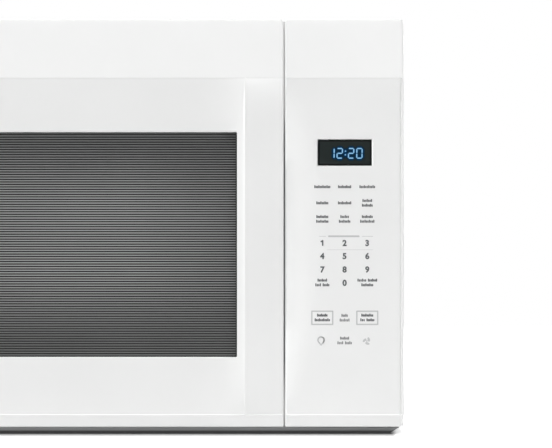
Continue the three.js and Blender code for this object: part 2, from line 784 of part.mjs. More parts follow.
/** The opening under a grease filter, grown by a margin. The filter overlaps its rear edge most. */
const filterOpening = (x, margin, z0, z1) => block(
  x - FILTER_WIDTH / 2 + FILTER_OVERLAP - margin,
  x + FILTER_WIDTH / 2 - FILTER_OVERLAP + margin,
  filterY - FILTER_DEPTH / 2 + FILTER_OVERLAP - margin,
  filterY + FILTER_DEPTH / 2 - FILTER_OVERLAP - FILTER_TRAVEL + margin,
  z0,
  z1,
);

function basePan() {
  const half = caseRight - TRAY_INSET;
  const frontY = crestY + TRAY_FRONT;
  const wall = SHEET * 1.3;
  const innerSlope = TRAY_SLOPE * (1 - SHEET / TRAY_HEIGHT);
  const tray = cut(
    tapered(half, frontY, caseRearY, TRAY_SLOPE, 0, TRAY_HEIGHT),
    tapered(half - wall, frontY + wall, caseRearY - wall, innerSlope, SHEET, TRAY_HEIGHT + 0.02),
  );
  const slotReach = caseRight - SLOT_INSET;
  const slots = spread(-slotReach, slotReach, 13).map((x) => (
    block(x - 14, x + 14, insideY + 2, insideY + 6, -1, SHEET + 1)
  ));
  const seats = filterMiddles.map((x) => filterOpening(x, SHEET, SHEET - 0.5, FILTER_SEAT));
  return cut(
    join(tray, ...seats),
    ...filterMiddles.map((x) => filterOpening(x, 0, -1, FILTER_SEAT + 1)),
    ...filterMiddles.map((x) => pad(x, lampY, LENS_WIDTH, LENS_DEPTH, -1, SHEET + 1)),
    ...slots,
  );
}

const ventRearY = insideY + VENT_DEPTH;

/** The upward-facing top vent: a frame, slanted vanes across it, and hooks that hold the charcoal filter. */
function ventGrille() {
  const low = caseTop - 18;
  const left = caseLeft + SHEET + FIT;
  const right = caseRight - SHEET - FIT;
  const frame = cut(
    block(left, right, insideY, ventRearY, low, caseTop),
    block(left + 12, right - 12, insideY + 4, ventRearY - 4, low - 1, caseTop + 1),
  );
  const pitch = (right - left - 24) / (VENT_VANES + 1);
  const vanes = Array.from({ length: VENT_VANES }, (_, i) => new THREE.BoxGeometry(1.6, VENT_DEPTH - 6, 17)
    .rotateY(THREE.MathUtils.degToRad(25))
    .translate(left + 12 + pitch * (i + 1), (insideY + ventRearY) / 2, (low + caseTop) / 2));
  const hookZ = low - FIT - CHARCOAL_THICK - FIT;
  const hooks = [-1, 1].map((side) => {
    const wall = (side * CHARCOAL_WIDTH) / 2 + side * FIT;
    const outline = [
      [wall, low + 3],
      [wall, hookZ],
      [wall - side * 6, hookZ],
      [wall - side * 6, hookZ - 2],
      [wall + side * 2, hookZ - 2],
      [wall + side * 2, low + 3],
    ];
    return prism('y', outline, insideY + 1, ventRearY - 1);
  });
  return join(frame, ...vanes, ...hooks);
}

function caseParts() {
  const low = caseTop - 18;
  return [
    node('outer_wrap', outerWrap(), CASE_WHITE),
    node('rear_panel', rearPanel(), STEEL),
    node('front_plate', frontPlate(), CASE_WHITE),
    node('base_pan', basePan(), CHARCOAL),
    node('vent_grille', ventGrille(), WHITE),
    node('charcoal_filter', block(
      -CHARCOAL_WIDTH / 2,
      CHARCOAL_WIDTH / 2,
      insideY + 2,
      ventRearY - 2,
      low - FIT - CHARCOAL_THICK,
      low - FIT,
    ), CARBON),
    node('cord_bushing', cordBushing(), RUBBER),
  ];
}

// ---------------------------------------------------------------- oven cavity

const PORT_HEIGHT = 50;
const PORT_DEPTH = 70;
const PORT_BEHIND = 125; // behind the front plate
const PORT_DROP = 56; // below the cavity top
const portY = insideY + PORT_BEHIND;
const portZ = cavityTop - PORT_DROP;
const WAVEGUIDE = 21;

function cavityLiner() {
  const shell = cut(
    block(
      cavityLeft - LINER,
      cavityRight + LINER,
      insideY,
      cavityRearY,
      CAVITY_FLOOR - LINER,
      cavityTop + LINER,
    ),
    block(cavityLeft, cavityRight, insideY - 1, cavityRearY - LINER, CAVITY_FLOOR, cavityTop),
  );
  const lampHoles = spread(-8, 8, 2).flatMap((dx) => spread(-8, 8, 2).map((dy) => (
    bar('z', 1.8, cavityTop - 1, cavityTop + LINER + 1, lampX + dx, lampHoleY + dy, 6)
  )));
  return cut(
    shell,
    bar('z', 9, CAVITY_FLOOR - LINER - 1, CAVITY_FLOOR + 1, turnX, turnY, 20),
    block(
      cavityRight - 1,
      cavityRight + LINER + 1,
      portY - PORT_DEPTH / 2,
      portY + PORT_DEPTH / 2,
      portZ - PORT_HEIGHT / 2,
      portZ + PORT_HEIGHT / 2,
    ),
    ...lampHoles,
  );
}

const lampX = cavityRight - 50;
const lampHoleY = insideY + 120;

function cavityLamp() {
  const bulbX = lampX;
  const socketX = lampX + 24;
  return join(
    block(socketX - 8, socketX + 12, lampHoleY - 10, lampHoleY + 10, loft, loft + 24),
    bar('x', 6, bulbX, socketX, lampHoleY, loft + 12, 12),
    new THREE.SphereGeometry(10, 12, 8).translate(bulbX, lampHoleY, loft + 12),
  );
}

function waveguide() {
  const back = bayLeft + WAVEGUIDE;
  const halfY = PORT_DEPTH / 2 + 10;
  const halfZ = PORT_HEIGHT / 2 + 10;
  return cut(
    block(bayLeft, back, portY - halfY, portY + halfY, portZ - halfZ, portZ + halfZ),
    block(
      bayLeft - 1,
      back - SHEET,
      portY - halfY + SHEET,
      portY + halfY - SHEET,
      portZ - halfZ + SHEET,
      portZ + halfZ - SHEET,
    ),
    bar('x', 12, back - SHEET - 1, back + 1, portY, portZ, 20),
  );
}

/** The magnetron: antenna dome, mounting plate, finned core between two yoke plates, and filter box. */
function magnetron() {
  const face = bayLeft + WAVEGUIDE + FIT;
  const core = face + 1.6;
  const end = core + 60;
  const fins = spread(core + 5, end - 5, 4).map((x) => (
    block(x - 0.6, x + 0.6, portY - 34, portY + 34, portZ - 30, portZ + 30)
  ));
  return join(
    bar('x', 9, face - 16, face + 1, portY, portZ, 16),
    block(face, face + 1.6, portY - 45, portY + 45, portZ - 35, portZ + 35),
    bar('x', 20, face + 1, end + 1, portY, portZ, 20),
    ...fins,
    block(core - 0.5, end, portY - 40, portY + 40, portZ + 29, portZ + 33),
    block(core - 0.5, end, portY - 40, portY + 40, portZ - 33, portZ - 29),
    block(end, end + 26, portY - 30, portY + 30, portZ - 25, portZ + 25),
  );
}

function microwaveParts() {
  const boxStart = bayLeft + WAVEGUIDE + FIT + 61.6;
  const coverX = cavityRight - FIT;
  return [
    node('cavity_liner', cavityLiner(), CAVITY),
    node('waveguide', waveguide(), STEEL),
    node('waveguide_cover', block(
      coverX - 0.8,
      coverX,
      portY - PORT_DEPTH / 2 - 4,
      portY + PORT_DEPTH / 2 + 4,
      portZ - PORT_HEIGHT / 2 - 4,
      portZ + PORT_HEIGHT / 2 + 4,
    ), MICA),
    node('magnetron', magnetron(), STEEL),
    node('thermal_cutout', join(
      bar('y', 8, portY + 30 + FIT, portY + 36, boxStart + 13, portZ, 16),
      block(boxStart + 2, boxStart + 24, portY + 30 + FIT, portY + 31.5, portZ - 4, portZ + 4),
    ), BLACK_PLASTIC),
    node('cavity_lamp', cavityLamp(), CREAM_PLASTIC),
  ];
}

// ---------------------------------------------------------------- power supply in the bay

const CORE_WIDTH = 100;
const CORE_HEIGHT = 84;
const CORE_STACK = 60;
const CORE_LEG = 17;
const coreX = bayLeft + 78;
const coreY = insideY + 204;
const CAN_LENGTH = 52;
const CAN_WIDTH = 32;
const CAN_HEIGHT = 94;
const canX = bayRight - 33;
const canY = insideY + 112;

function transformer() {
  const low = trayFloor + 1.5;
  const left = coreX - CORE_WIDTH / 2;
  const right = coreX + CORE_WIDTH / 2;
  const front = coreY - CORE_STACK / 2;
  const back = coreY + CORE_STACK / 2;
  const legHalf = CORE_LEG;
  const top = low + CORE_HEIGHT;
  const opening = (x0, x1) => block(x0, x1, front - 1, back + 1, low + CORE_LEG, top - CORE_LEG);
  const core = cut(
    join(
      block(left, right, front, back, low, top),
      block(left - 8, right + 8, front + 6, back - 6, trayFloor, low + 1),
    ),
    opening(left + CORE_LEG, coreX - legHalf),
    opening(coreX + legHalf, right - CORE_LEG),
  );
  const ringLow = low + CORE_LEG + FIT;
  const ringHigh = top - CORE_LEG - FIT;
  const waist = (ringLow + ringHigh) / 2;
  const outer = (inset, z0, z1) => block(
    left + CORE_LEG + FIT + inset,
    right - CORE_LEG - FIT - inset,
    front - 14 + inset,
    back + 14 - inset,
    z0,
    z1,
  );
  const coils = cut(
    join(
      outer(0, ringLow, waist - 2),
      outer(3, waist - 3, waist + 3),
      outer(0, waist + 2, ringHigh),
    ),
    block(
      coreX - legHalf - FIT,
      coreX + legHalf + FIT,
      front - FIT,
      back + FIT,
      ringLow - 1,
      ringHigh + 1,
    ),
  );
  return [
    node('transformer_core', core, IRON),
    node('transformer_coils', coils, COPPER),
  ];
}

/** The outline of the oval capacitor can, grown by a margin. */
const canOutline = (grow) => rounded(
  canX - CAN_WIDTH / 2 - grow,
  canX + CAN_WIDTH / 2 + grow,
  canY - CAN_LENGTH / 2 - grow,
  canY + CAN_LENGTH / 2 + grow,
  CAN_WIDTH / 2 + grow - 0.5,
);

function capacitorParts() {
  const top = trayFloor + CAN_HEIGHT;
  const can = join(
    prism('z', canOutline(0), trayFloor, top, 5),
    pad(canX, canY - 12, 6, 6, top - 1, top + 10),
    pad(canX, canY + 12, 6, 6, top - 1, top + 10),
  );
  const legX = canX - CAN_WIDTH / 2 - FIT;
  const clamp = join(
    cut(prism('z', canOutline(FIT + SHEET), 40, 54, 5), prism('z', canOutline(FIT), 39, 55, 5)),
    block(legX - SHEET, legX, canY - 7, canY + 7, trayFloor, 54),
    block(legX - 16, legX, canY - 7, canY + 7, trayFloor, trayFloor + SHEET),
  );
  const diodeX = legX - 32;
  return [
    node('hv_capacitor', can, ALUMINIUM),
    node('capacitor_clamp', clamp, STEEL),
    node('hv_diode', join(
      bar('y', 4.2, canY - 12, canY + 6, diodeX, trayFloor + 4.2, 12),
      bar('y', 1, canY - 22, canY + 16, diodeX, trayFloor + 4.2, 8),
    ), BLACK_PLASTIC),
  ];
}

// ---------------------------------------------------------------- cooling fan

const FAN_RADIUS = 53;
const FAN_BLADES = 5;
const fanX = (bayLeft + bayRight) / 2;
const FAN_BEFORE_REAR = 86.5;
const fanY = caseRearY - FAN_BEFORE_REAR;
const fanZ = portZ - 10;
const FAN_SHAFT = 2.5;

/** One fan blade: a sector-shaped paddle, pitched about its own radius. */
function fanBlade(angle) {
  const shape = new THREE.Shape();
  shape.moveTo(9, -6);
  shape.quadraticCurveTo(30, -20, FAN_RADIUS - 4, -18);
  shape.quadraticCurveTo(FAN_RADIUS, 0, FAN_RADIUS - 6, 20);
  shape.quadraticCurveTo(30, 16, 9, 6);
  return new THREE.ExtrudeGeometry(shape, { depth: 1.6, bevelEnabled: false, curveSegments: 4 })
    .translate(0, 0, -0.8)
    .rotateX(THREE.MathUtils.degToRad(28))
    .rotateZ(angle)
    .rotateX(Math.PI / 2);
}

function fanParts() {
  const bladeY = fanY + 14;
  const blades = Array.from({ length: FAN_BLADES }, (_, i) => (
    fanBlade((i * 2 * Math.PI) / FAN_BLADES).translate(fanX, bladeY, fanZ)
  ));
  const wheel = cut(
    join(bar('y', 11, bladeY - 9, bladeY + 9, fanX, fanZ, 20), ...blades),
    bar('y', FAN_SHAFT + FIT, bladeY - 12, bladeY + 12, fanX, fanZ, 12),
  );
  const strutY = bladeY + 22;
  const ringRadius = FAN_RADIUS + 4;
  const shroud = cut(
    join(
      block(bayLeft, bayRight, fanY - SHEET, fanY, fanZ - 85, fanZ + 85),
      bar('y', ringRadius + 1.5, fanY - 1, fanY + 12, fanX, fanZ, 32),
      ...[-1, 1].map((side) => block(
        fanX - 6,
        fanX + 6,
        fanY - 0.5,
        strutY + 2,
        fanZ + side * (ringRadius + 5) - 2,
        fanZ + side * (ringRadius + 5) + 2,
      )),
      block(fanX - 6, fanX + 6, strutY, strutY + 2, fanZ - ringRadius - 6, fanZ + ringRadius + 6),
    ),
    bar('y', ringRadius, fanY - 2, fanY + 13, fanX, fanZ, 32),
    bar('y', FAN_SHAFT + 3, strutY - 1, strutY + 3, fanX, fanZ, 16),
  );
  const motorY = strutY + 2 + FIT;
  return [
    node('cooling_fan_blade', wheel, BLACK_PLASTIC),
    node('cooling_fan_shroud', shroud, STEEL),
    node('cooling_fan_motor', join(
      bar('y', 22, motorY, motorY + 24, fanX, fanZ, 20),
      bar('y', FAN_SHAFT, bladeY - 10, motorY + 1, fanX, fanZ, 12),
      pad(fanX, motorY + 10, 52, 16, fanZ - 30, fanZ - 12),
    ), IRON),
  ];
}

// ---------------------------------------------------------------- blower

const BLOWER_BEFORE_REAR = 101;
const blowerY = caseRearY - BLOWER_BEFORE_REAR;
const blowerZ = loft + BLOWER_RADIUS + 12.5;
const BLOWER_SHAFT = 4;
const blowerOuter = BLOWER_SPACING / 2 + BLOWER_WHEEL / 2 + 6;
const blowerInner = BLOWER_SPACING / 2 - BLOWER_WHEEL / 2 - 6;
const SCROLL_START = 4; // scroll wall outside the wheel at the cut-off
const SCROLL_GROWTH = 10; // how much the scroll opens over three quarters of a turn
const outletFrontY = blowerY - 10;
const outletRearY = blowerY + BLOWER_RADIUS + SCROLL_START + SCROLL_GROWTH;

/** The scroll's outline in (y, z), drawn in by a wall, its outlet neck running up to a height. */
function scrollOutline(wall, top) {
  const points = [[outletFrontY + wall, top]];
  const turns = 18;
  for (let i = 0; i <= turns; i += 1) {
    const angle = Math.PI / 2 + 0.2 + ((Math.PI * 1.5 - 0.2) * i) / turns;
    const radius = BLOWER_RADIUS + SCROLL_START + (SCROLL_GROWTH * i) / turns - wall;
    points.push([blowerY + radius * Math.cos(angle), blowerZ + radius * Math.sin(angle)]);
  }
  points.push([outletRearY - wall, top]);
  return points;
}

function blowerHousing() {
  const top = ceiling - FIT;
  const scrolls = [-1, 1].flatMap((side) => {
    const middle = (side * BLOWER_SPACING) / 2;
    const half = (blowerOuter - blowerInner) / 2;
    return [cut(
      prism('x', scrollOutline(0, top), middle - half, middle + half),
      prism('x', scrollOutline(SHEET, top + 2), middle - half + SHEET, middle + half - SHEET),
      bar('x', BLOWER_RADIUS - 8, middle - half - 1, middle + half + 1, blowerY, blowerZ, 24),
    )];
  });
  const feet = [-1, 1].map((side) => (
    pad((side * BLOWER_SPACING) / 2, blowerY, BLOWER_WHEEL, 30, loft + 1, blowerZ - BLOWER_RADIUS - 7)
  ));
  const skids = cut(
    join(pad(0, blowerY, 2 * blowerOuter, 100, loft, loft + SHEET), ...feet),
    ...[-1, 1].map((side) => prism(
      'x',
      scrollOutline(SHEET, top + 2),
      (side * BLOWER_SPACING) / 2 - BLOWER_WHEEL / 2 - 1,
      (side * BLOWER_SPACING) / 2 + BLOWER_WHEEL / 2 + 1,
    )),
  );
  return join(...scrolls, skids);
}

/** Two squirrel-cage wheels on one shaft: each an inner disc, an outer ring, and blades between them. */
function blowerWheels() {
  const pieces = [];
  const blade = new THREE.BoxGeometry(BLOWER_WHEEL, 1.4, 8);
  const half = BLOWER_WHEEL / 2;
  const across = (radius, from, to, sides) => (
    bar('x', radius, Math.min(from, to), Math.max(from, to), blowerY, blowerZ, sides)
  );
  [-1, 1].forEach((side) => {
    const middle = (side * BLOWER_SPACING) / 2;
    const disc = middle - side * half;
    const rim = middle + side * half;
    pieces.push(across(BLOWER_RADIUS, disc, disc + side * 2, BLOWER_BLADES));
    pieces.push(cut(
      across(BLOWER_RADIUS, rim, rim - side * 3, BLOWER_BLADES),
      bar('x', BLOWER_RADIUS - 7, middle - half - 2, middle + half + 2, blowerY, blowerZ, BLOWER_BLADES),
    ));
    for (let i = 0; i < BLOWER_BLADES; i += 1) {
      const angle = (i * 2 * Math.PI) / BLOWER_BLADES;
      pieces.push(blade.clone()
        .rotateX(THREE.MathUtils.degToRad(35))
        .translate(0, 0, BLOWER_RADIUS - 4.5)
        .rotateX(angle)
        .translate(middle, blowerY, blowerZ));
    }
    pieces.push(across(10, disc, disc + side * 14, 12));
  });
  pieces.push(bar('x', BLOWER_SHAFT, -blowerInner - 10, blowerInner + 10, blowerY, blowerZ, 16));
  return join(...pieces);
}

function blowerParts() {
  const motorHalf = blowerInner - 8;
  const foot = loft + SHEET + FIT;
  return [
    node('blower_housing', blowerHousing(), STEEL),
    node('blower_wheels', blowerWheels(), GREY_PLASTIC),
    node('blower_motor', cut(
      join(
        bar('x', 34, -motorHalf, motorHalf, blowerY, blowerZ, 24),
        pad(0, blowerY, motorHalf, 44, foot, blowerZ - 28),
      ),
      bar('x', BLOWER_SHAFT + 0.6, -motorHalf - 1, motorHalf + 1, blowerY, blowerZ, 16),
    ), IRON),
  ];
}

// ---------------------------------------------------------------- hood: filters and cooktop lamps

/** A grease filter: a folded frame, slats across it, and a pull tab in its opening. */
function greaseFilter(x) {
  const low = FILTER_SEAT + FIT;
  const high = low + FILTER_THICK;
  const border = 12;
  const inner = FILTER_DEPTH - 2 * border;
  const frame = cut(
    pad(x, filterY, FILTER_WIDTH, FILTER_DEPTH, low, high),
    pad(x, filterY, FILTER_WIDTH - 2 * border, inner, low - 1, high + 1),
  );
  const slats = spread(-inner / 2, inner / 2, FILTER_SLATS + 1).slice(1, -1).map((dy) => (
    pad(x, filterY + dy, FILTER_WIDTH - 2 * border + 2, 8, low + 1.5, high - 1.5)
  ));
  const rib = pad(x, filterY, 4, inner + 2, low + 2, high - 2);
  const tab = pad(x, filterY - FILTER_DEPTH / 2 + FILTER_OVERLAP + 6 + FILTER_TRAVEL, 24, 6, 1, low + 2);
  return join(frame, ...slats, rib, tab);
}

/** A cooktop lamp: a socket standing on the base pan and a bulb lying over the lens. */
function cooktopLamp(x) {
  const socketX = x + LENS_WIDTH / 2 + 20;
  return join(
    pad(socketX, lampY, 22, 26, trayFloor, trayFloor + 32),
    bar('x', 7, socketX - 30, socketX, lampY, trayFloor + 20, 12),
    new THREE.SphereGeometry(13, 14, 8).translate(socketX - 34, lampY, trayFloor + 20),
  );
}

/** A lamp lens: its face fills the opening, and its flange lies on the base pan. */
const lampLens = (x) => join(
  pad(x, lampY, LENS_WIDTH - 2 * FIT, LENS_DEPTH - 2 * FIT, 0.5, trayFloor + 1),
  pad(x, lampY, LENS_WIDTH + 10, LENS_DEPTH + 8, trayFloor, trayFloor + 1.8),
);

const hoodParts = () => ['left', 'right'].flatMap((side, i) => [
  node(`grease_filter_${side}`, greaseFilter(filterMiddles[i]), ALUMINIUM),
  node(`cooktop_lamp_${side}`, cooktopLamp(filterMiddles[i]), CREAM_PLASTIC),
  node(`lamp_lens_${side}`, lampLens(filterMiddles[i]), CLEAR_GLASS),
]);

// ---------------------------------------------------------------- turntable

const SHAFT = 3;
const HUB = 8;
const LOBE = 22;

function turntableParts() {
  const shaftTop = trayZ - 6;
  const motor = join(
    bar('z', 24, CAVITY_FLOOR - LINER - FIT - 18, CAVITY_FLOOR - LINER - FIT, turnX, turnY, 24),
    bar('z', SHAFT, CAVITY_FLOOR - 4, shaftTop, turnX, turnY, 12),
    pad(turnX, turnY, 64, 12, CAVITY_FLOOR - LINER - FIT - SHEET, CAVITY_FLOOR - LINER - FIT),
  );
  const about = (geometry, i) => geometry
    .rotateZ((i * 2 * Math.PI) / 3)
    .translate(turnX, turnY, 0);
  const lobes = [0, 1, 2].map((i) => about(block(0, LOBE, -3.5, 3.5, trayZ - 9, trayZ - FIT), i));
  const coupler = cut(
    join(bar('z', HUB, CAVITY_FLOOR + 0.8, trayZ - FIT, turnX, turnY, 20), ...lobes),
    bar('z', SHAFT + FIT, CAVITY_FLOOR, shaftTop + 1, turnX, turnY, 12),
  );
  const lugs = [0, 1, 2].map((i) => about(
    block(13, 20, -4, 4, trayZ - 5, trayZ + 1).rotateZ(Math.PI / 3),
    i,
  ));
  const dishRadius = trayRadius - 14;
  const tray = join(
    turned([
      [0, trayZ],
      [dishRadius + 3, trayZ],
      [trayRadius, trayZ + TRAY_DISH + 2],
      [trayRadius - 1, trayZ + TRAY_DISH + TRAY_GLASS],
      [trayRadius - 4, trayZ + TRAY_DISH + TRAY_GLASS],
      [dishRadius, trayZ + TRAY_GLASS],
      [0, trayZ + TRAY_GLASS],
    ], turnX, turnY, 48),
    ...lugs,
  );
  return [
    node('turntable_motor', motor, STEEL),
    node('turntable_coupler', coupler, CREAM_PLASTIC),
    node('glass_tray', tray, CLEAR_GLASS),
    ...rollerParts(),
  ];
}

/** The roller ring with an axle for each roller, and the rollers on them. */
function rollerParts() {
  const outer = rollerCircle - ROLLER_LENGTH / 2 - 2;
  const inner = outer - RING_SECTION;
  const ringLow = rollerZ - 4;
  const ringHigh = rollerZ + 4;
  const around = (geometry, i) => geometry
    .rotateZ((i * 2 * Math.PI) / ROLLERS + Math.PI / 2)
    .translate(turnX, turnY, 0);
  const axles = Array.from({ length: ROLLERS }, (_, i) => around(
    bar('x', AXLE, inner + 2, rollerCircle + ROLLER_LENGTH / 2 + 2, 0, rollerZ, 12),
    i,
  ));
  const ring = join(
    turned([
      [inner, ringLow],
      [outer, ringLow],
      [outer, ringHigh],
      [inner, ringHigh],
      [inner, ringLow],
    ], turnX, turnY, 48),
    ...axles,
  );
  const rollers = Array.from({ length: ROLLERS }, (_, i) => {
    const low = rollerCircle - ROLLER_LENGTH / 2;
    const high = rollerCircle + ROLLER_LENGTH / 2;
    const wheel = cut(
      bar('x', ROLLER_RADIUS, low, high, 0, 0, 24),
      bar('x', AXLE + FIT, low - 1, high + 1, 0, 0, 12),
    );
    const mesh = node(`roller_${i + 1}`, wheel, CREAM_PLASTIC);
    const angle = (i * 2 * Math.PI) / ROLLERS + Math.PI / 2;
    mesh.rotation.z = angle;
    mesh.position.set(turnX, turnY, rollerZ);
    return mesh;
  });
  return [node('roller_ring', ring, CREAM_PLASTIC), ...rollers];
}

// ---------------------------------------------------------------- controls

const displayLeft = panelLeft + DISPLAY_LEFT;
const displayRight = displayLeft + DISPLAY_WIDTH;
const displayTop = topFold - DISPLAY_DROP;
const displayBottom = displayTop - DISPLAY_HEIGHT;
const boardLeft = panelLeft + SCOOP_WIDTH + 1;
const boardRight = caseRight - RIM - 3;
const BOARD_HEIGHT = 180;
const BOARD_RISE = 22.8; // control board above the display
const TOUCH_RAISE = 38.4; // touch sensor board above the chin fold
const boardHigh = displayTop + BOARD_RISE;
const boardLow = boardHigh - BOARD_HEIGHT;
const boardY = faceY + 19.5;

function controlFascia() {
  const xs = inOrder([
    ...roundSteps(panelLeft, EDGE_ROUND, 1),
    ...spread(panelLeft + EDGE_ROUND, panelLeft + SCOOP_WIDTH, 5),
    ...roundSteps(caseRight, EDGE_ROUND, -1),
  ]);
  const outer = common(
    moulding(xs, frontHeights(frontBottom, frontTop, 12), panelFront, plateY - FIT),
    frontOutline(panelLeft, caseRight),
  );
  const hollow = moulding(
    inOrder([panelLeft + RIM, ...spread(panelLeft + RIM + 5, panelLeft + SCOOP_WIDTH, 3), caseRight - RIM]),
    inOrder([frontBottom + RIM, ...spread(chinFold, topFold, 7), frontTop - RIM]),
    (x, z) => panelFront(x, z) + SKIN,
    plateY + 1,
  );
  const opening = block(displayLeft, displayRight, crestY, boardY, displayBottom, displayTop);
  const posts = [boardLeft + 4, boardRight - 4].flatMap((x) => [boardLow + 5, boardHigh - 5].map((z) => (
    bar('y', 2.5, faceY + 1, boardY - FIT, x, z, 12)
  )));
  return join(cut(outer, hollow, opening), ...posts);
}

function controlParts() {
  const inside = faceY + SKIN + FIT;
  const display = (margin, y0, y1) => block(
    displayLeft + margin,
    displayRight - margin,
    y0,
    y1,
    displayBottom + margin,
    displayTop - margin,
  );
  const board = join(
    block(boardLeft, boardRight, boardY, boardY + BOARD, boardLow, boardHigh),
    pad(boardLeft + 20, boardY + 8, 24, 16, boardLow + 20, boardLow + 50),
    pad(boardRight - 18, boardY + 7, 18, 14, boardLow + 25, boardLow + 45),
    pad(boardRight - 18, boardY + 7, 18, 14, boardLow + 60, boardLow + 80),
    bar('y', 8, boardY, boardY + 16, boardLeft + 22, boardHigh - 40, 12),
  );
  return [
    node('control_fascia', controlFascia(), WHITE),
    node('display_window', display(FIT, faceY + FIT, faceY + SKIN), GLOSS_BLACK),
    node('display_module', display(3, inside, boardY - FIT), BLACK_PLASTIC),
    node('touch_sensor_board', block(
      boardLeft + 8,
      boardRight - 8,
      inside,
      inside + 1.2,
      chinFold + TOUCH_RAISE,
      displayBottom - 5,
    ), BOARD_GREEN),
    node('control_board', board, BOARD_GREEN),
  ];
}

// ---------------------------------------------------------------- door interlock

function interlockParts() {
  const wallX = hookX + HOOK_THICK / 2 + 4 + 1;
  const wallEnd = hookTipY + 14;
  const ledge = (z) => {
    const top = z - HOOK_HEIGHT / 2 - HOOK_LIP - 0.5;
    return block(hookX - 5, wallX + 0.5, insideY + 8, hookTipY + 2, top - 3, top);
  };
  const bracket = join(
    block(wallX, wallX + 1.6, insideY, wallEnd, LATCH_LOW - 35, LATCH_HIGH + 38),
    block(wallX, wallX + 18, insideY, insideY + 1.6, LATCH_LOW - 35, LATCH_HIGH + 38),
    ledge(LATCH_LOW),
    ledge(LATCH_HIGH),
  );
  const switchX = wallX + 1.6 + FIT;
  const heights = [LATCH_LOW, LATCH_HIGH - 11, LATCH_HIGH + 11];
  return [
    node('interlock_bracket', bracket, BLACK_PLASTIC),
    ...heights.map((z, i) => node(`interlock_switch_${i + 1}`, join(
      block(
        switchX,
        switchX + SWITCH_THICK,
        insideY + 5,
        insideY + 5 + SWITCH_LENGTH,
        z - SWITCH_HEIGHT / 2,
        z + SWITCH_HEIGHT / 2,
      ),
      ...[4, 12, 22].map((dy) => block(
        switchX + SWITCH_THICK - 1,
        switchX + SWITCH_THICK + 6,
        insideY + 5 + dy,
        insideY + 5 + dy + 0.8,
        z - 3,
        z + 3,
      )),
    ), BLACK_PLASTIC)),
  ];
}

// ---------------------------------------------------------------- the whole

const microwave = new THREE.Group();
microwave.add(
  ...caseParts(),
  ...microwaveParts(),
  ...transformer(),
  ...capacitorParts(),
  ...fanParts(),
  ...blowerParts(),
  ...hoodParts(),
  ...turntableParts(),
  ...controlParts(),
  ...interlockParts(),
  ...hingeParts(),
  ...doorParts(),
);

export default microwave;
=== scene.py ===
"""A white over-the-range microwave oven, dressed round its packed construction.

The frame holds every working part. Here the two moulded front pieces get fine surfaces, the window, display
and touch keys get their prints, sheet-metal parts get soft edges, and every part gets its finish.
Lengths in the shape formulas are in millimetres and become metres when a mesh is made.
"""

import json
import math

import bmesh
import bpy
import numpy as np
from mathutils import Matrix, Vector

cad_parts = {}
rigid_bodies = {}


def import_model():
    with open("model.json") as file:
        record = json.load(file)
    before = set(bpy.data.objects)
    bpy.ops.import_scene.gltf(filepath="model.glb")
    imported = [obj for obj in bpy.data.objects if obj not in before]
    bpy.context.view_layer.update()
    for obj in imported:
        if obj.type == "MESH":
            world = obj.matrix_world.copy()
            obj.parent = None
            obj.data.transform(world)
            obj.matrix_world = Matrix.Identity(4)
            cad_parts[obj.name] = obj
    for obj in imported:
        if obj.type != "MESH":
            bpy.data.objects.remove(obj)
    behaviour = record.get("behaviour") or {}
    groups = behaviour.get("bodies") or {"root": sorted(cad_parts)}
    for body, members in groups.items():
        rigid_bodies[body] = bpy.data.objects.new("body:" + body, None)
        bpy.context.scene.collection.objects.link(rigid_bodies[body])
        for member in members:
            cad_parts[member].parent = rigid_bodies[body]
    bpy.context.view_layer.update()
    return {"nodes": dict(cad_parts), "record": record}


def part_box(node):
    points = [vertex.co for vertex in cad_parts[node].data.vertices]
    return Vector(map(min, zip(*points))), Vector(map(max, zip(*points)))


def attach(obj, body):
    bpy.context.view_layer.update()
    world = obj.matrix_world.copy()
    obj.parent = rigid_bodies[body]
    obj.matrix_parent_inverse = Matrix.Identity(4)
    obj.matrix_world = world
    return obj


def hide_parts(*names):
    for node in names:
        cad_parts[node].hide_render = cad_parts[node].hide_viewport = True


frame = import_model()

# ---------------------------------------------------------------- the frame's measures, in millimetres

MM = 0.001


def corners(name):
    """Lowest and highest corner of a construction part, in millimetres."""
    low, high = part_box(name)
    return np.array(low) / MM, np.array(high) / MM


door_low, door_high = corners("door_frame")
panel_low, panel_high = corners("control_fascia")
pane_low, pane_high = corners("door_window")
display_low, display_high = corners("display_window")

CREST_Y = door_low[1]  # front of the handle crest
FRONT_BOTTOM = door_low[2]
FRONT_TOP = door_high[2]
DOOR_BACK = door_high[1]
HANDLE_BOW = 8.0  # crest in front of the face
HANDLE_ARCH = 12  # power of the crest's arch
HANDLE_WIDTH = 39.6  # crest to the door's right edge
SWEEP_WIDTH = 34.0  # recess that sweeps up to the crest
SWEEP_CURVE = 2.0  # its power
TOP_BAND = 62.3  # height of the band above the top fold
TOP_LEAN = 18.0  # how far that band leans back
CHIN = 12.9  # height of the strip below the lower fold
CHIN_LEAN = 4.0
LOWER_SWEEP = 4.0  # how far the face comes forward towards the chin
LOWER_SWEEP_HEIGHT = 58.4
EDGE_ROUND = 3.0
END_ROUNDS = (1.5, 1.2)  # lower and upper edge
SCOOP_DEPTH = 14.0
SCOOP_WIDTH = 44.0
SCOOP_START = 15.4  # scoop's lower end above the chin
SCOOP_END = 10.7  # scoop's upper end below the top fold
SKIN = 2.5  # wall of the mouldings
RIM = 3.0  # their solid border

TOP_FOLD = FRONT_TOP - TOP_BAND
CHIN_FOLD = FRONT_BOTTOM + CHIN
CREST_X = door_high[0] - HANDLE_WIDTH
FACE_Y = CREST_Y + HANDLE_BOW
PANEL_LEFT = panel_low[0]

WINDOW_FLANGE = 8.0  # hidden edge of the pane, behind the door's skin
FIT = 0.3  # play round the pane's raised face
window_low = pane_low + WINDOW_FLANGE
window_high = pane_high - WINDOW_FLANGE

# ---------------------------------------------------------------- shader node groups


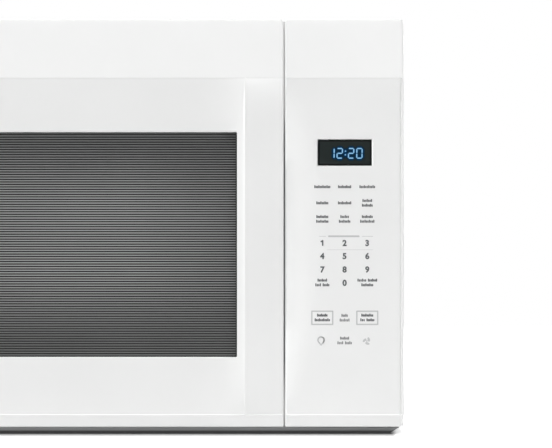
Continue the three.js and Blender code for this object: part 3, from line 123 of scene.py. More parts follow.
def group(name, inputs, outputs):
    """An empty shader node group with named sockets; returns it with its input and output nodes."""
    made = bpy.data.node_groups.new(name, "ShaderNodeTree")
    for label, kind, value in inputs:
        socket = made.interface.new_socket(label, in_out="INPUT", socket_type=kind)
        socket.default_value = value
    for label, kind in outputs:
        made.interface.new_socket(label, in_out="OUTPUT", socket_type=kind)
    return made, made.nodes.new("NodeGroupInput"), made.nodes.new("NodeGroupOutput")


def node(tree, kind, **values):
    """A node with its plain properties set, and its inputs where the name starts with a capital letter."""
    made = tree.nodes.new(kind)
    for name, value in values.items():
        if name[0].isupper():
            made.inputs[name.replace("_", " ")].default_value = value
        else:
            setattr(made, name, value)
    return made


def maths(tree, operation, first, second=0.0, third=0.0):
    """A Math node; each operand is a number or a socket."""
    made = tree.nodes.new("ShaderNodeMath")
    made.operation = operation
    for i, value in enumerate((first, second, third)):
        if isinstance(value, bpy.types.NodeSocket):
            tree.links.new(value, made.inputs[i])
        else:
            made.inputs[i].default_value = value
    return made.outputs[0]


def placed(tree):
    """Object coordinates, as a socket."""
    return node(tree, "ShaderNodeTexCoord").outputs["Object"]


def axes(tree):
    """The X, Y and Z of Object coordinates, as sockets by letter."""
    split = node(tree, "ShaderNodeSeparateXYZ")
    tree.links.new(placed(tree), split.inputs[0])
    return split.outputs


def between(tree, value, start, end, low=0.0, high=1.0, kind="LINEAR"):
    """A Map Range node: goes from low to high as a value goes from start to end, and holds outside them."""
    made = node(tree, "ShaderNodeMapRange", interpolation_type=kind, From_Min=start, From_Max=end, To_Min=low,
                To_Max=high)
    tree.links.new(value, made.inputs["Value"])
    return made.outputs["Result"]


FLOAT = "NodeSocketFloat"


def make_surface_group():
    """Moulded or painted surface: a fine grain, slow waves and light smears, all from noise."""
    made, given, out = group(
        "surface grain",
        [("Grain Scale", FLOAT, 1400.0), ("Wave Scale", FLOAT, 14.0), ("Smear", FLOAT, 0.5)],
        [("Height", FLOAT), ("Tone", FLOAT), ("Smears", FLOAT)],
    )
    where = placed(made)
    fine = node(made, "ShaderNodeTexNoise", Detail=3.0, Roughness=0.6)
    slow = node(made, "ShaderNodeTexNoise", Detail=2.0, Roughness=0.45)
    smears = node(made, "ShaderNodeTexNoise", Scale=9.0, Detail=6.0, Roughness=0.7, Distortion=0.8)
    for texture in (fine, slow, smears):
        made.links.new(where, texture.inputs["Vector"])
    made.links.new(given.outputs["Grain Scale"], fine.inputs["Scale"])
    made.links.new(given.outputs["Wave Scale"], slow.inputs["Scale"])
    height = maths(made, "MULTIPLY_ADD", slow.outputs["Fac"], 6.0, fine.outputs["Fac"])
    smear = maths(made, "MULTIPLY", smears.outputs["Fac"], given.outputs["Smear"])
    made.links.new(height, out.inputs["Height"])
    made.links.new(slow.outputs["Fac"], out.inputs["Tone"])
    made.links.new(smear, out.inputs["Smears"])
    return made


def make_lines_group():
    """Level printed lines: how far a point's height lies into its line pitch, as a mask with soft borders."""
    made, given, out = group(
        "printed lines",
        [("Pitch", FLOAT, 0.0026), ("Share", FLOAT, 0.5), ("Offset", FLOAT, 0.0)],
        [("Lines", FLOAT)],
    )
    shifted = maths(made, "SUBTRACT", axes(made)["Z"], given.outputs["Offset"])
    turns = maths(made, "DIVIDE", shifted, given.outputs["Pitch"])
    part = maths(made, "FRACT", turns)
    off = maths(made, "ABSOLUTE", maths(made, "SUBTRACT", part, 0.5))
    half = maths(made, "MULTIPLY", given.outputs["Share"], 0.5)
    inside = maths(made, "SUBTRACT", half, off)
    soft = maths(made, "MULTIPLY_ADD", inside, 12.0, 0.5)
    made.links.new(maths(made, "MINIMUM", maths(made, "MAXIMUM", soft, 0.0), 1.0), out.inputs["Lines"])
    return made


def make_speckle_group():
    """Fired enamel: small specks where the distance to scattered cell centres is short."""
    made, given, out = group(
        "enamel specks",
        [("Scale", FLOAT, 420.0), ("Size", FLOAT, 0.22)],
        [("Specks", FLOAT), ("Height", FLOAT)],
    )
    where = placed(made)
    cells = node(made, "ShaderNodeTexVoronoi", Randomness=1.0)
    made.links.new(where, cells.inputs["Vector"])
    made.links.new(given.outputs["Scale"], cells.inputs["Scale"])
    near = maths(made, "LESS_THAN", cells.outputs["Distance"], given.outputs["Size"])
    made.links.new(near, out.inputs["Specks"])
    made.links.new(cells.outputs["Distance"], out.inputs["Height"])
    return made


def make_metal_group():
    """Metal grain: noise drawn out along one axis, mixed with crystal flakes of differing brightness."""
    made, given, out = group(
        "metal grain",
        [("Streaks", FLOAT, 0.5), ("Flakes", FLOAT, 0.5), ("Flake Scale", FLOAT, 90.0)],
        [("Tone", FLOAT), ("Height", FLOAT)],
    )
    where = placed(made)
    stretch = node(made, "ShaderNodeMapping", Scale=(12.0, 900.0, 900.0))
    made.links.new(where, stretch.inputs["Vector"])
    streaks = node(made, "ShaderNodeTexNoise", Scale=1.0, Detail=4.0, Roughness=0.6)
    made.links.new(stretch.outputs["Vector"], streaks.inputs["Vector"])
    flakes = node(made, "ShaderNodeTexVoronoi")
    made.links.new(where, flakes.inputs["Vector"])
    made.links.new(given.outputs["Flake Scale"], flakes.inputs["Scale"])
    spread = node(made, "ShaderNodeSeparateXYZ")
    made.links.new(flakes.outputs["Color"], spread.inputs[0])
    first = maths(made, "MULTIPLY", streaks.outputs["Fac"], given.outputs["Streaks"])
    second = maths(made, "MULTIPLY_ADD", spread.outputs["X"], given.outputs["Flakes"], first)
    made.links.new(second, out.inputs["Tone"])
    made.links.new(first, out.inputs["Height"])
    return made


SURFACE = make_surface_group()
LINES = make_lines_group()
SPECKS = make_speckle_group()
METAL = make_metal_group()

# ---------------------------------------------------------------- materials


class Finish:
    """A material being built: its tree, its Principled BSDF, and short ways to add nodes."""

    def __init__(self, name, color, roughness, metallic=0.0):
        self.material = bpy.data.materials.new(name)
        self.material.use_nodes = True
        self.tree = self.material.node_tree
        self.shader = self.tree.nodes["Principled BSDF"]
        self.color, self.roughness = (*color, 1.0), roughness
        self.material.diffuse_color = self.color
        self.set(Base_Color=self.color, Roughness=roughness, Metallic=metallic)

    def set(self, **values):
        """Values on the shader's own sockets."""
        for name, value in values.items():
            self.shader.inputs[name.replace("_", " ")].default_value = value

    def group(self, kind, **values):
        """One of the node groups, with its own values."""
        made = self.tree.nodes.new("ShaderNodeGroup")
        made.node_tree = kind
        for name, value in values.items():
            made.inputs[name.replace("_", " ")].default_value = value
        return made

    def tint(self, factor, other, amount=1.0):
        """Colour going from the finish's own to another where a mask is set."""
        mix = self.tree.nodes.new("ShaderNodeMix")
        mix.data_type = "RGBA"
        mix.inputs["A"].default_value = self.color
        mix.inputs["B"].default_value = (*other, 1.0)
        self.tree.links.new(maths(self.tree, "MULTIPLY", factor, amount), mix.inputs["Factor"])
        self.tree.links.new(mix.outputs["Result"], self.shader.inputs["Base Color"])

    def rough(self, value, change):
        """Roughness that varies with a mask about the finish's own."""
        self.tree.links.new(
            maths(self.tree, "MULTIPLY_ADD", value, change, self.roughness - change * 0.5),
            self.shader.inputs["Roughness"],
        )

    def bump(self, height, distance, strength=1.0):
        """A bump from a height, its depth in metres."""
        made = node(self.tree, "ShaderNodeBump", Strength=strength, Distance=distance)
        self.tree.links.new(height, made.inputs["Height"])
        self.tree.links.new(made.outputs["Normal"], self.shader.inputs["Normal"])

    def gloss(self, level):
        """How strongly the surface mirrors: 0.5 is common plastic or glass, less for a dulled one."""
        self.set(Specular_IOR_Level=level)

    def coat(self, weight, roughness):
        """A clear lacquer or polish over the colour."""
        self.set(Coat_Weight=weight, Coat_Roughness=roughness)


def grained(name, color, roughness, darker, grain=1400.0, depth=0.00002, smear=0.3):
    """A moulded or painted finish: fine grain, slow tone change towards a second colour, uneven gloss."""
    made = Finish(name, color, roughness)
    surface = made.group(SURFACE, Grain_Scale=grain, Smear=smear)
    made.tint(surface.outputs["Tone"], darker)
    made.rough(surface.outputs["Smears"], 0.12)
    made.bump(surface.outputs["Height"], depth, 0.35)
    return made


METAL_DARK = 0.65  # the darker tone's share of a metal's colour


def metal(name, color, roughness, streaks=0.6, flakes=0.3):
    """A bare metal: darker streaks from rolling or brushing and flakes of zinc or crystal."""
    made = Finish(name, color, roughness, 1.0)
    grain = made.group(METAL, Streaks=streaks, Flakes=flakes)
    made.tint(grain.outputs["Tone"], tuple(c * METAL_DARK for c in color))
    made.rough(grain.outputs["Tone"], 0.18)
    made.bump(grain.outputs["Height"], 0.00002, 0.3)
    return made


def white_moulding():
    """Moulded white plastic with a thin gloss."""
    made = grained("white moulding", (0.835, 0.838, 0.835), 0.34, (0.80, 0.803, 0.80), 1600.0, 0.000012)
    made.coat(0.25, 0.12)
    return made


def cavity_enamel():
    """Grey enamel fired on the oven's lining, with dark specks."""
    made = Finish("cavity enamel", (0.55, 0.555, 0.55), 0.38)
    specks = made.group(SPECKS, Scale=520.0, Size=0.2)
    made.tint(specks.outputs["Specks"], (0.2, 0.2, 0.2), 0.75)
    made.bump(specks.outputs["Height"], 0.00004, 0.4)
    return made


def window_glass():
    """Dark glass, a little uneven in its gloss."""
    made = Finish("window glass", (0.02, 0.021, 0.021), 0.1)
    made.gloss(0.3)
    surface = made.group(SURFACE, Grain_Scale=300.0, Smear=0.4)
    made.tint(surface.outputs["Tone"], (0.045, 0.047, 0.047))
    made.rough(surface.outputs["Smears"], 0.06)
    return made


WINDOW_PITCH = 0.0026  # of the window's lines, in metres, as are the next three
PAINTED_GLOW_MIDDLE = 0.2045  # height where the painted glow on the lines is brightest
PAINTED_GLOW_REACH = (0.115, 0.03)  # distance above or below it where the painted glow ends and the lines are darkest, and where the glow is full
LATCH_SIDE = (0.096, 0.2)  # across the pane, where the painted glow starts to weaken and where it is weakest
PAINTED_GLOW_HEIGHT = (0.6, -0.27)  # the painted glow's share of the light colour, and what the latch side adds to it
DARKEST = 0.355  # share of the light colour away from the painted glow


def window_print_and_glow():
    """The window's print of light level lines on dark, with painted light: a glow painted over the lines
    makes them lighter across the pane's middle than above and below.

    The tone is that painted glow, a smooth bell over height, times a slow uneven drift. The bell weakens
    towards the latch side.
    """
    made = Finish("window print and painted glow", (0.004, 0.0045, 0.0045), 0.16)
    made.gloss(0.22)
    tree = made.tree
    lines = made.group(LINES, Pitch=WINDOW_PITCH, Share=0.47, Offset=0.0005)
    surface = made.group(SURFACE, Grain_Scale=300.0, Wave_Scale=5.0, Smear=0.4)
    place = axes(tree)
    # painted light: the bell is a glow painted over the lines, brightest across the pane's middle
    away = maths(tree, "ABSOLUTE", maths(tree, "SUBTRACT", place["Z"], PAINTED_GLOW_MIDDLE))
    bell = between(tree, away, *PAINTED_GLOW_REACH, kind="SMOOTHSTEP")
    to_latch = between(tree, place["X"], *LATCH_SIDE)
    weaker = maths(tree, "MULTIPLY_ADD", to_latch, PAINTED_GLOW_HEIGHT[1], PAINTED_GLOW_HEIGHT[0])
    level = maths(tree, "MULTIPLY_ADD", bell, weaker, DARKEST)
    drift = maths(tree, "MULTIPLY_ADD", surface.outputs["Tone"], 0.4, 0.8)
    shade = maths(tree, "MULTIPLY", level, drift)
    made.tint(maths(tree, "MULTIPLY", lines.outputs["Lines"], shade), (0.34, 0.345, 0.345))
    made.rough(surface.outputs["Smears"], 0.08)
    return made


def clear_glass():
    """Pressed glass, a little wavy."""
    made = Finish("clear glass", (0.93, 0.97, 0.96), 0.02)
    made.set(Transmission_Weight=1.0, IOR=1.46)
    surface = made.group(SURFACE, Grain_Scale=120.0, Wave_Scale=30.0)
    made.bump(surface.outputs["Height"], 0.00001, 0.25)
    return made


def display_black():
    """The display's smoked cover."""
    made = Finish("display black", (0.006, 0.011, 0.01), 0.09)
    made.gloss(0.18)
    surface = made.group(SURFACE, Grain_Scale=500.0, Smear=0.5)
    made.tint(surface.outputs["Tone"], (0.01, 0.016, 0.016))
    made.rough(surface.outputs["Smears"], 0.05)
    return made


def winding():
    """Copper wire laid turn by turn: thin bands round the coil."""
    made = Finish("winding", (0.42, 0.16, 0.07), 0.3, 0.6)
    lines = made.group(LINES, Pitch=0.0009, Share=0.6)
    made.tint(lines.outputs["Lines"], (0.62, 0.27, 0.12))
    made.bump(lines.outputs["Lines"], 0.0002, 0.8)
    return made


def laminations():
    """Stacked iron sheets under brown varnish."""
    made = Finish("laminations", (0.075, 0.07, 0.068), 0.45, 0.4)
    surface = made.group(SURFACE, Grain_Scale=900.0)
    lines = made.group(LINES, Pitch=0.0008, Share=0.5)
    made.tint(lines.outputs["Lines"], (0.13, 0.12, 0.115))
    made.rough(surface.outputs["Smears"], 0.2)
    made.bump(lines.outputs["Lines"], 0.0001, 0.5)
    return made


PAINTED_SHADE_EDGE = (0.0032, 0.0021)  # heights, in metres, where the tray's painted shade starts and where it is full: a shadow line painted along its lowest edge


def charcoal_paint():
    """Textured grey paint on the base tray, with painted shade: near black along the tray's lowest edge, a
    shadow line where it meets the floor.
    """
    made = Finish("charcoal paint", (0.33, 0.337, 0.342), 0.5)
    tree = made.tree
    surface = made.group(SURFACE, Grain_Scale=1100.0)
    # painted shade: the tray's lowest few millimetres go near black, a painted shadow line at the floor
    edge = between(tree, axes(tree)["Z"], *PAINTED_SHADE_EDGE)
    tone = maths(tree, "MULTIPLY", surface.outputs["Tone"], 0.25)
    made.tint(maths(tree, "MAXIMUM", tone, edge), (0.012, 0.013, 0.014))
    made.rough(surface.outputs["Smears"], 0.12)
    made.bump(surface.outputs["Height"], 0.00006, 0.35)
    return made


FINISHES = {
    "white_moulding": white_moulding(),
    "white_enamel": grained("white enamel", (0.80, 0.80, 0.795), 0.42, (0.765, 0.765, 0.76), 700.0, 0.00003),
    "charcoal_paint": charcoal_paint(),
    "cavity_enamel": cavity_enamel(),
    "galvanised_steel": metal("galvanised steel", (0.58, 0.6, 0.62), 0.42),
    "display_black": display_black(),
    "window_glass": window_glass(),
    "clear_glass": clear_glass(),
    "grey_plastic": grained("grey plastic", (0.33, 0.34, 0.345), 0.5, (0.28, 0.29, 0.295)),
    "black_plastic": grained("black plastic", (0.028, 0.028, 0.03), 0.48, (0.045, 0.045, 0.047)),
    "cream_plastic": grained("cream plastic", (0.7, 0.66, 0.55), 0.45, (0.62, 0.58, 0.47)),
    "winding": winding(),
    "laminations": laminations(),
    "aluminium": metal("aluminium", (0.74, 0.75, 0.76), 0.34, 0.8, 0.1),
    "mica": grained("mica", (0.4, 0.36, 0.27), 0.5, (0.52, 0.48, 0.38), 260.0, 0.00008),
    "circuit_board": grained("circuit board", (0.02, 0.13, 0.05), 0.35, (0.03, 0.19, 0.08), 300.0),
    "carbon": grained("carbon pad", (0.022, 0.022, 0.022), 0.92, (0.045, 0.045, 0.045), 420.0, 0.0012),
    "rubber": grained("rubber", (0.018, 0.018, 0.018), 0.75, (0.03, 0.03, 0.03), 900.0),
}

WINDOW_PRINT_AND_GLOW = window_print_and_glow()
DISPLAY_EDGE = grained("display edge", (0.003, 0.003, 0.003), 0.5, (0.006, 0.006, 0.006), 900.0)
DISPLAY_EDGE.gloss(0.05)
PRINT_DARK = grained("dark print", (0.075, 0.08, 0.085), 0.5, (0.095, 0.1, 0.105), 900.0)
PRINT_GREY = grained("grey print", (0.2, 0.204, 0.208), 0.5, (0.24, 0.244, 0.248), 900.0)
PRINT_PALE = grained("pale print", (0.5, 0.505, 0.51), 0.5, (0.54, 0.545, 0.55), 900.0)


def glow(name, color):
    """A lit display segment under its dark cover: its own light over a near-black, slightly uneven ground."""
    made = Finish(name, (0.001, 0.001, 0.001), 0.5)
    made.gloss(0.0)
    surface = made.group(SURFACE, Grain_Scale=900.0)
    made.tint(surface.outputs["Tone"], (0.001, 0.003, 0.005))
    made.set(Emission_Color=(*color, 1.0), Emission_Strength=1.0)
    return made


SEGMENT_GLOW = glow("display segment", (0.3, 0.56, 0.8))
INNER_GLOW = glow("display inner halo", (0.002, 0.075, 0.2))
MIDDLE_GLOW = glow("display middle halo", (0.002, 0.027, 0.08))
OUTER_GLOW = glow("display outer halo", (0.006, 0.021, 0.038))

slot_of = {entry["node"]: entry["material_slot"] for entry in frame["record"]["subparts"]}
body_of = {name: body for body, names in frame["record"]["behaviour"]["bodies"].items() for name in names}
for name, part in frame["nodes"].items():
    part.data.materials.clear()
    part.data.materials.append(FINISHES[slot_of[name]].material)

# ---------------------------------------------------------------- mesh tools


def new_object(name, data):
    """An object in the scene that shows a mesh, a curve, a lamp or a camera."""
    made = bpy.data.objects.new(name, data)
    bpy.context.scene.collection.objects.link(made)
    return made


def make_object(name, points, faces, finish, smooth_degrees=35.0):
    """An object from points in millimetres and a list of faces, shaded smooth up to an angle."""
    mesh = bpy.data.meshes.new(name)
    mesh.from_pydata((np.asarray(points, float) * MM).tolist(), [], faces)
    mesh.validate()
    mesh.materials.append(finish.material)
    return smooth(new_object(name, mesh), smooth_degrees)


def smooth(made, degrees=35.0):
    """Smooth shading, with edges sharper than an angle left crisp."""
    mesh = made.data
    mesh.polygons.foreach_set("use_smooth", np.ones(len(mesh.polygons), bool))
    mesh.set_sharp_from_angle(angle=math.radians(degrees))
    return made


def grid_faces(rows, columns, start=0, wrap_rows=False, wrap_columns=False, flip=False):
    """Quads over a grid of points stored row by row; either direction may close on itself."""
    last_row = rows if wrap_rows else rows - 1
    last_column = columns if wrap_columns else columns - 1
    row, column = np.meshgrid(np.arange(last_row), np.arange(last_column), indexing="ij")
    below, right = (row + 1) % rows, (column + 1) % columns
    quads = np.stack(
        [row * columns + column, row * columns + right, below * columns + right, below * columns + column],
        axis=-1,
    ).reshape(-1, 4) + start
    return (quads[:, ::-1] if flip else quads).tolist()


def apply_modifiers(made):
    """Turns an object's modifiers into its mesh."""
    graph = bpy.context.evaluated_depsgraph_get()
    mesh = bpy.data.meshes.new_from_object(made.evaluated_get(graph))
    made.modifiers.clear()
    made.data = mesh
    return made


def carve(base, tools, operation="DIFFERENCE"):
    """Cuts closed tools out of a closed base, or joins them to it, and removes the tools."""
    for tool in tools:
        modifier = base.modifiers.new("carve", "BOOLEAN")
        modifier.operation = operation
        modifier.object = tool
        modifier.solver = "MANIFOLD"
    apply_modifiers(base)
    for tool in tools:
        bpy.data.objects.remove(tool)
    return base


def weld(made):
    """Merges points that fall together, as at the poles of a turned shape."""
    work = bmesh.new()
    work.from_mesh(made.data)
    bmesh.ops.remove_doubles(work, verts=work.verts, dist=2e-6)
    bmesh.ops.dissolve_degenerate(work, edges=work.edges, dist=1e-7)
    work.to_mesh(made.data)
    work.free()
    return made


def face_outwards(made):
    """Faces turned outwards on every closed shell of a mesh."""
    work = bmesh.new()
    work.from_mesh(made.data)
    bmesh.ops.recalc_face_normals(work, faces=work.faces)
    work.to_mesh(made.data)
    work.free()
    return made


def join_pieces(name, pieces):
    """Several pieces as one object, their faces gathered into one mesh."""
    gathered = bmesh.new()
    for piece in pieces:
        gathered.from_mesh(piece.data)
    mesh = bpy.data.meshes.new(name)
    gathered.to_mesh(mesh)
    gathered.free()
    mesh.materials.append(pieces[0].data.materials[0])
    for piece in pieces:
        bpy.data.objects.remove(piece)
    return new_object(name, mesh)


def filleted(corner_points, radius=0.4, steps=5, closed=False):
    """A profile with eased corners: each is a quadratic curve that starts and ends a radius from it."""
    points = np.asarray(corner_points, float)
    t = np.linspace(0, 1, steps)[:, None]

    def towards(target):
        gap = target - points
        length = np.linalg.norm(gap, axis=1, keepdims=True)
        return points + gap * np.minimum(radius / np.maximum(length, 1e-9), 0.45)

    first, last = towards(np.roll(points, 1, 0)), towards(np.roll(points, -1, 0))
    curves = (1 - t) ** 2 * first[:, None] + 2 * t * (1 - t) * points[:, None] + t**2 * last[:, None]
    if closed:
        return curves.reshape(-1, points.shape[1])
    return np.concatenate([points[:1], *curves[1:-1], points[-1:]])


def revolve(name, profile, centre, finish, axis="z", segments=96, closed=False, smooth_degrees=35.0):
    """A turned solid: a profile of (radius, height along the axis) carried round the axis in even steps.

    The profile runs out along its lower end and back along its upper one, or closes on itself.
    """
    profile = np.asarray(profile, float)
    angle = np.linspace(0, 2 * np.pi, segments, endpoint=False)
    a = profile[:, :1] * np.cos(angle)
    b = profile[:, :1] * np.sin(angle)
    c = np.repeat(profile[:, 1:], segments, 1)
    order = {"z": (a, b, c), "x": (c, a, b), "y": (b, c, a)}[axis]
    points = np.stack(order, -1).reshape(-1, 3) + np.asarray(centre, float)
    faces = grid_faces(len(profile), segments, wrap_rows=closed, wrap_columns=True)
    return smooth(weld(make_object(name, points, faces, finish)), smooth_degrees)


def slab(name, low, high, finish, axis="y", corner=1.0, edge=0.3, steps=4):
    """A plate with round corners, drawn in at both of its faces by a quarter circle."""
    first, second, along = {"x": (1, 2, 0), "y": (0, 2, 1), "z": (0, 1, 2)}[axis]
    turn = np.radians(np.linspace(0, 90, steps + 1))
    drop, sink = edge * (1 - np.sin(turn)), edge * (1 - np.cos(turn))
    insets = np.concatenate([drop, drop[::-1]])
    levels = np.concatenate([low[along] + sink, high[along] - sink[::-1]])
    rings = []
    for inset, level in zip(insets, levels):
        loop = rounded_loop(
            low[first] + inset, high[first] - inset, low[second] + inset, high[second] - inset,
            max(corner - inset, 0.05),
        )
        ring = np.empty((len(loop), 3))
        ring[:, first], ring[:, second], ring[:, along] = loop[:, 0], loop[:, 1], level
        rings.append(ring)
    return loft(name, rings[::-1] if axis == "y" else rings, finish)


def tubes(name, paths, radius, finish, sides=5):
    """Many level wires at once: a regular section carried along each path, closed at both ends.

    The section stands square to the path's direction, which is worked out from neighbouring points.
    """
    paths = np.asarray(paths, float)
    count, steps, _ = paths.shape
    along = np.gradient(paths, axis=1)
    along /= np.linalg.norm(along, axis=2, keepdims=True)
    side = np.cross(along, [0.0, 0.0, 1.0])
    side /= np.linalg.norm(side, axis=2, keepdims=True)
    up = np.cross(side, along)
    angle = np.linspace(0, 2 * np.pi, sides, endpoint=False)[:, None]
    ring = side[:, :, None] * np.cos(angle) - up[:, :, None] * np.sin(angle)
    points = (paths[:, :, None] + radius * ring).reshape(-1, 3)
    one = np.array(grid_faces(steps, sides, wrap_columns=True, flip=True))
    size = steps * sides
    quads = (one[None] + (np.arange(count) * size)[:, None, None]).reshape(-1, 4).tolist()
    for start in range(0, count * size, size):
        quads.append(list(range(start, start + sides)))
        quads.append(list(range(start + size - 1, start + size - sides - 1, -1)))
    return make_object(name, points, quads, finish, 60.0)


def soften(name, width):
    """A fine copy of a construction part: points merged, flat faces joined, edges rounded and shaded."""
    work = bmesh.new()
    work.from_mesh(frame["nodes"][name].data)
    bmesh.ops.remove_doubles(work, verts=work.verts, dist=5e-6)
    bmesh.ops.dissolve_limit(work, angle_limit=math.radians(0.6), verts=work.verts, edges=work.edges)
    mesh = bpy.data.meshes.new(name + "_formed")
    work.to_mesh(mesh)
    work.free()
    mesh.materials.append(FINISHES[slot_of[name]].material)
    made = new_object(name + "_formed", mesh)
    bevel = made.modifiers.new("edges", "BEVEL")
    bevel.width = width * MM
    bevel.segments = 2
    bevel.limit_method = "ANGLE"
    bevel.angle_limit = math.radians(28.0)
    bevel.use_clamp_overlap = True
    apply_modifiers(made)
    smooth(made, 40.0)
    shade = made.modifiers.new("shading", "WEIGHTED_NORMAL")
    shade.keep_sharp = True
    apply_modifiers(made)
    return finish_piece(made, body_of[name], slot_of[name], name)


stood_for = set()  # construction parts that a piece of this file stands for


def finish_piece(made, body, slot, *replaced):
    """Puts a new piece on its body, and hides and notes the parts that it stands for. The slot is not used.
    """
    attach(made, body)
    if replaced:
        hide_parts(*replaced)
        stood_for.update(replaced)
    return made


# ---------------------------------------------------------------- the moulded front

BAND_STEP = 0.75  # the chin stands this much proud of the face above it
TOP_STEP = 0.6  # share of that step by which the top band stands proud
STEP_WIDTH = 0.9
FOLD_SOFT = 0.7
FOLD_SPAN = 2  # to either side of a fold, where grid lines are closest
NEAR_FOLD = 50  # to one side of a fold, where they are closer than in the middle
HANDLE_FALL = 0.2  # share of the bow that the handle loses from its crest to its right edge
BEAD = 0.4  # height of the fine bead along the handle's crest
BEAD_WIDTH = 1.0
SEAM_LIP = 0.4  # each moulding's edge reaches this far into the seam
SEAM_ROUND = 2.2
SIDE_LINE = 3.4  # middle of the groove along the panel's right edge
GROOVE_WIDTH = 3.0
GROOVE_DEPTH = 1.3
CHIN_TAPER = 2.8  # how far the chin's outer ends draw in
HANDLE_COLUMN = 20.2  # solid column at the door's right
DISPLAY_PLAY = np.array([[0.65, 0, 0.6], [0.35, 0, 0.65]])  # left and below, right and above
WHITE = FINISHES["white_moulding"]


def ramp(value, soft=FOLD_SOFT):
    """Zero below 0 and rising one for one above it, with its corner softened into a hyperbola.

    A decaying exponential takes away what the hyperbola would lift the corner by.
    """
    return 0.5 * (value + np.sqrt(value * value + soft * soft)) - 0.5 * soft * np.exp(-np.abs(value) / soft)


def step(value, width=STEP_WIDTH):
    """A smooth step from 0 to 1, centred on 0."""
    t = np.clip(value / width + 0.5, 0, 1)
    return t * t * (3 - 2 * t)


def face_depth(z):
    """How far the face lies behind the handle crest at a height: leaning band, face, sweep and chin."""
    sweep_top = CHIN_FOLD + LOWER_SWEEP_HEIGHT
    below = np.clip((sweep_top - z) / LOWER_SWEEP_HEIGHT, 0, 1)
    return (
        HANDLE_BOW
        + TOP_LEAN * ramp(z - TOP_FOLD) / TOP_BAND
        - LOWER_SWEEP * below**2
        + CHIN_LEAN * ramp(CHIN_FOLD - z) / CHIN
    )


def band_mask(z):
    """One on the chin and a little less on the top band, zero on the face between the two folds."""
    return np.maximum(TOP_STEP * step(z - TOP_FOLD), step(CHIN_FOLD - z))


def between_folds(z):
    """One on the face between the two folds, zero above and below."""
    return step(TOP_FOLD - z) * step(z - CHIN_FOLD)


def handle_bow(z):
    """Forward bow of the handle crest: a high-power arch, nearly straight between the folds."""
    across = (z - (TOP_FOLD + CHIN_FOLD) / 2) / ((TOP_FOLD - CHIN_FOLD) / 2)
    return HANDLE_BOW * (1 - np.clip(np.abs(across), 0, 1) ** HANDLE_ARCH)


def round_drop(distance, radius=EDGE_ROUND):
    """Drop of a rounded edge at a distance in from it: a quarter circle."""
    inward = np.clip(radius - distance, 0, radius)
    return radius - np.sqrt(np.maximum(radius**2 - inward**2, 0))


def door_front(x, z):
    """The door's front: a face that sweeps up to the crest by a power of the nearness, and the handle band.

    A low bead, a bell over the distance from the crest, marks the crest from fold to fold.
    """
    bow = handle_bow(z)
    before = np.clip(1 - (CREST_X - x) / SWEEP_WIDTH, 0, 1) ** SWEEP_CURVE
    after = 1 - HANDLE_FALL * (x - CREST_X) / HANDLE_WIDTH
    rise = bow * np.where(x >= CREST_X, after, before)
    bead = BEAD * np.exp(-(((x - CREST_X) / BEAD_WIDTH) ** 2)) * between_folds(z)
    return CREST_Y + np.maximum(face_depth(z) - rise, BEAD) - bead - BAND_STEP * band_mask(z)


def panel_front(x, z):
    """The panel's front: the same face with a finger scoop that fades to the right, above and below."""
    low, high = CHIN_FOLD + SCOOP_START, TOP_FOLD - SCOOP_END
    across = np.clip((z - (high + low) / 2) / ((high - low) / 2), -1, 1)
    lens = np.maximum(1 - across**2, 0)
    width = SCOOP_WIDTH * np.sqrt(np.maximum(lens, 1e-9))
    share = np.clip((x - PANEL_LEFT) / width, 0, 1)
    scoop = SCOOP_DEPTH * lens**0.8 * (1 - share) ** 2
    return CREST_Y + face_depth(z) + scoop - BAND_STEP * band_mask(z) + side_groove(x) * between_folds(z)


def side_groove(x):
    """Depth of the groove along the panel's right edge: a cosine bell across its width."""
    across = np.clip((x - (panel_high[0] - SIDE_LINE)) / (GROOVE_WIDTH / 2), -1, 1)
    return GROOVE_DEPTH * 0.5 * (1 + np.cos(np.pi * across))


def dense(low, high, count):
    """Evenly spaced grid lines."""
    return np.linspace(low, high, count)


def edge_lines(edge, towards, radius=EDGE_ROUND):
    """Grid lines across a rounded edge, at even angles of its quarter circle."""
    angles = np.radians(np.linspace(0, 90, 9))
    return edge + towards * radius * (1 - np.cos(angles))


def unique_lines(*parts):
    """Grid lines in order, with near repeats dropped."""
    lines = np.sort(np.concatenate(parts))
    return lines[np.concatenate([[True], np.diff(lines) > 0.04])]


def fold_lines(fold):
    """Close grid lines across a fold."""
    return dense(fold - FOLD_SPAN, fold + FOLD_SPAN, 17)


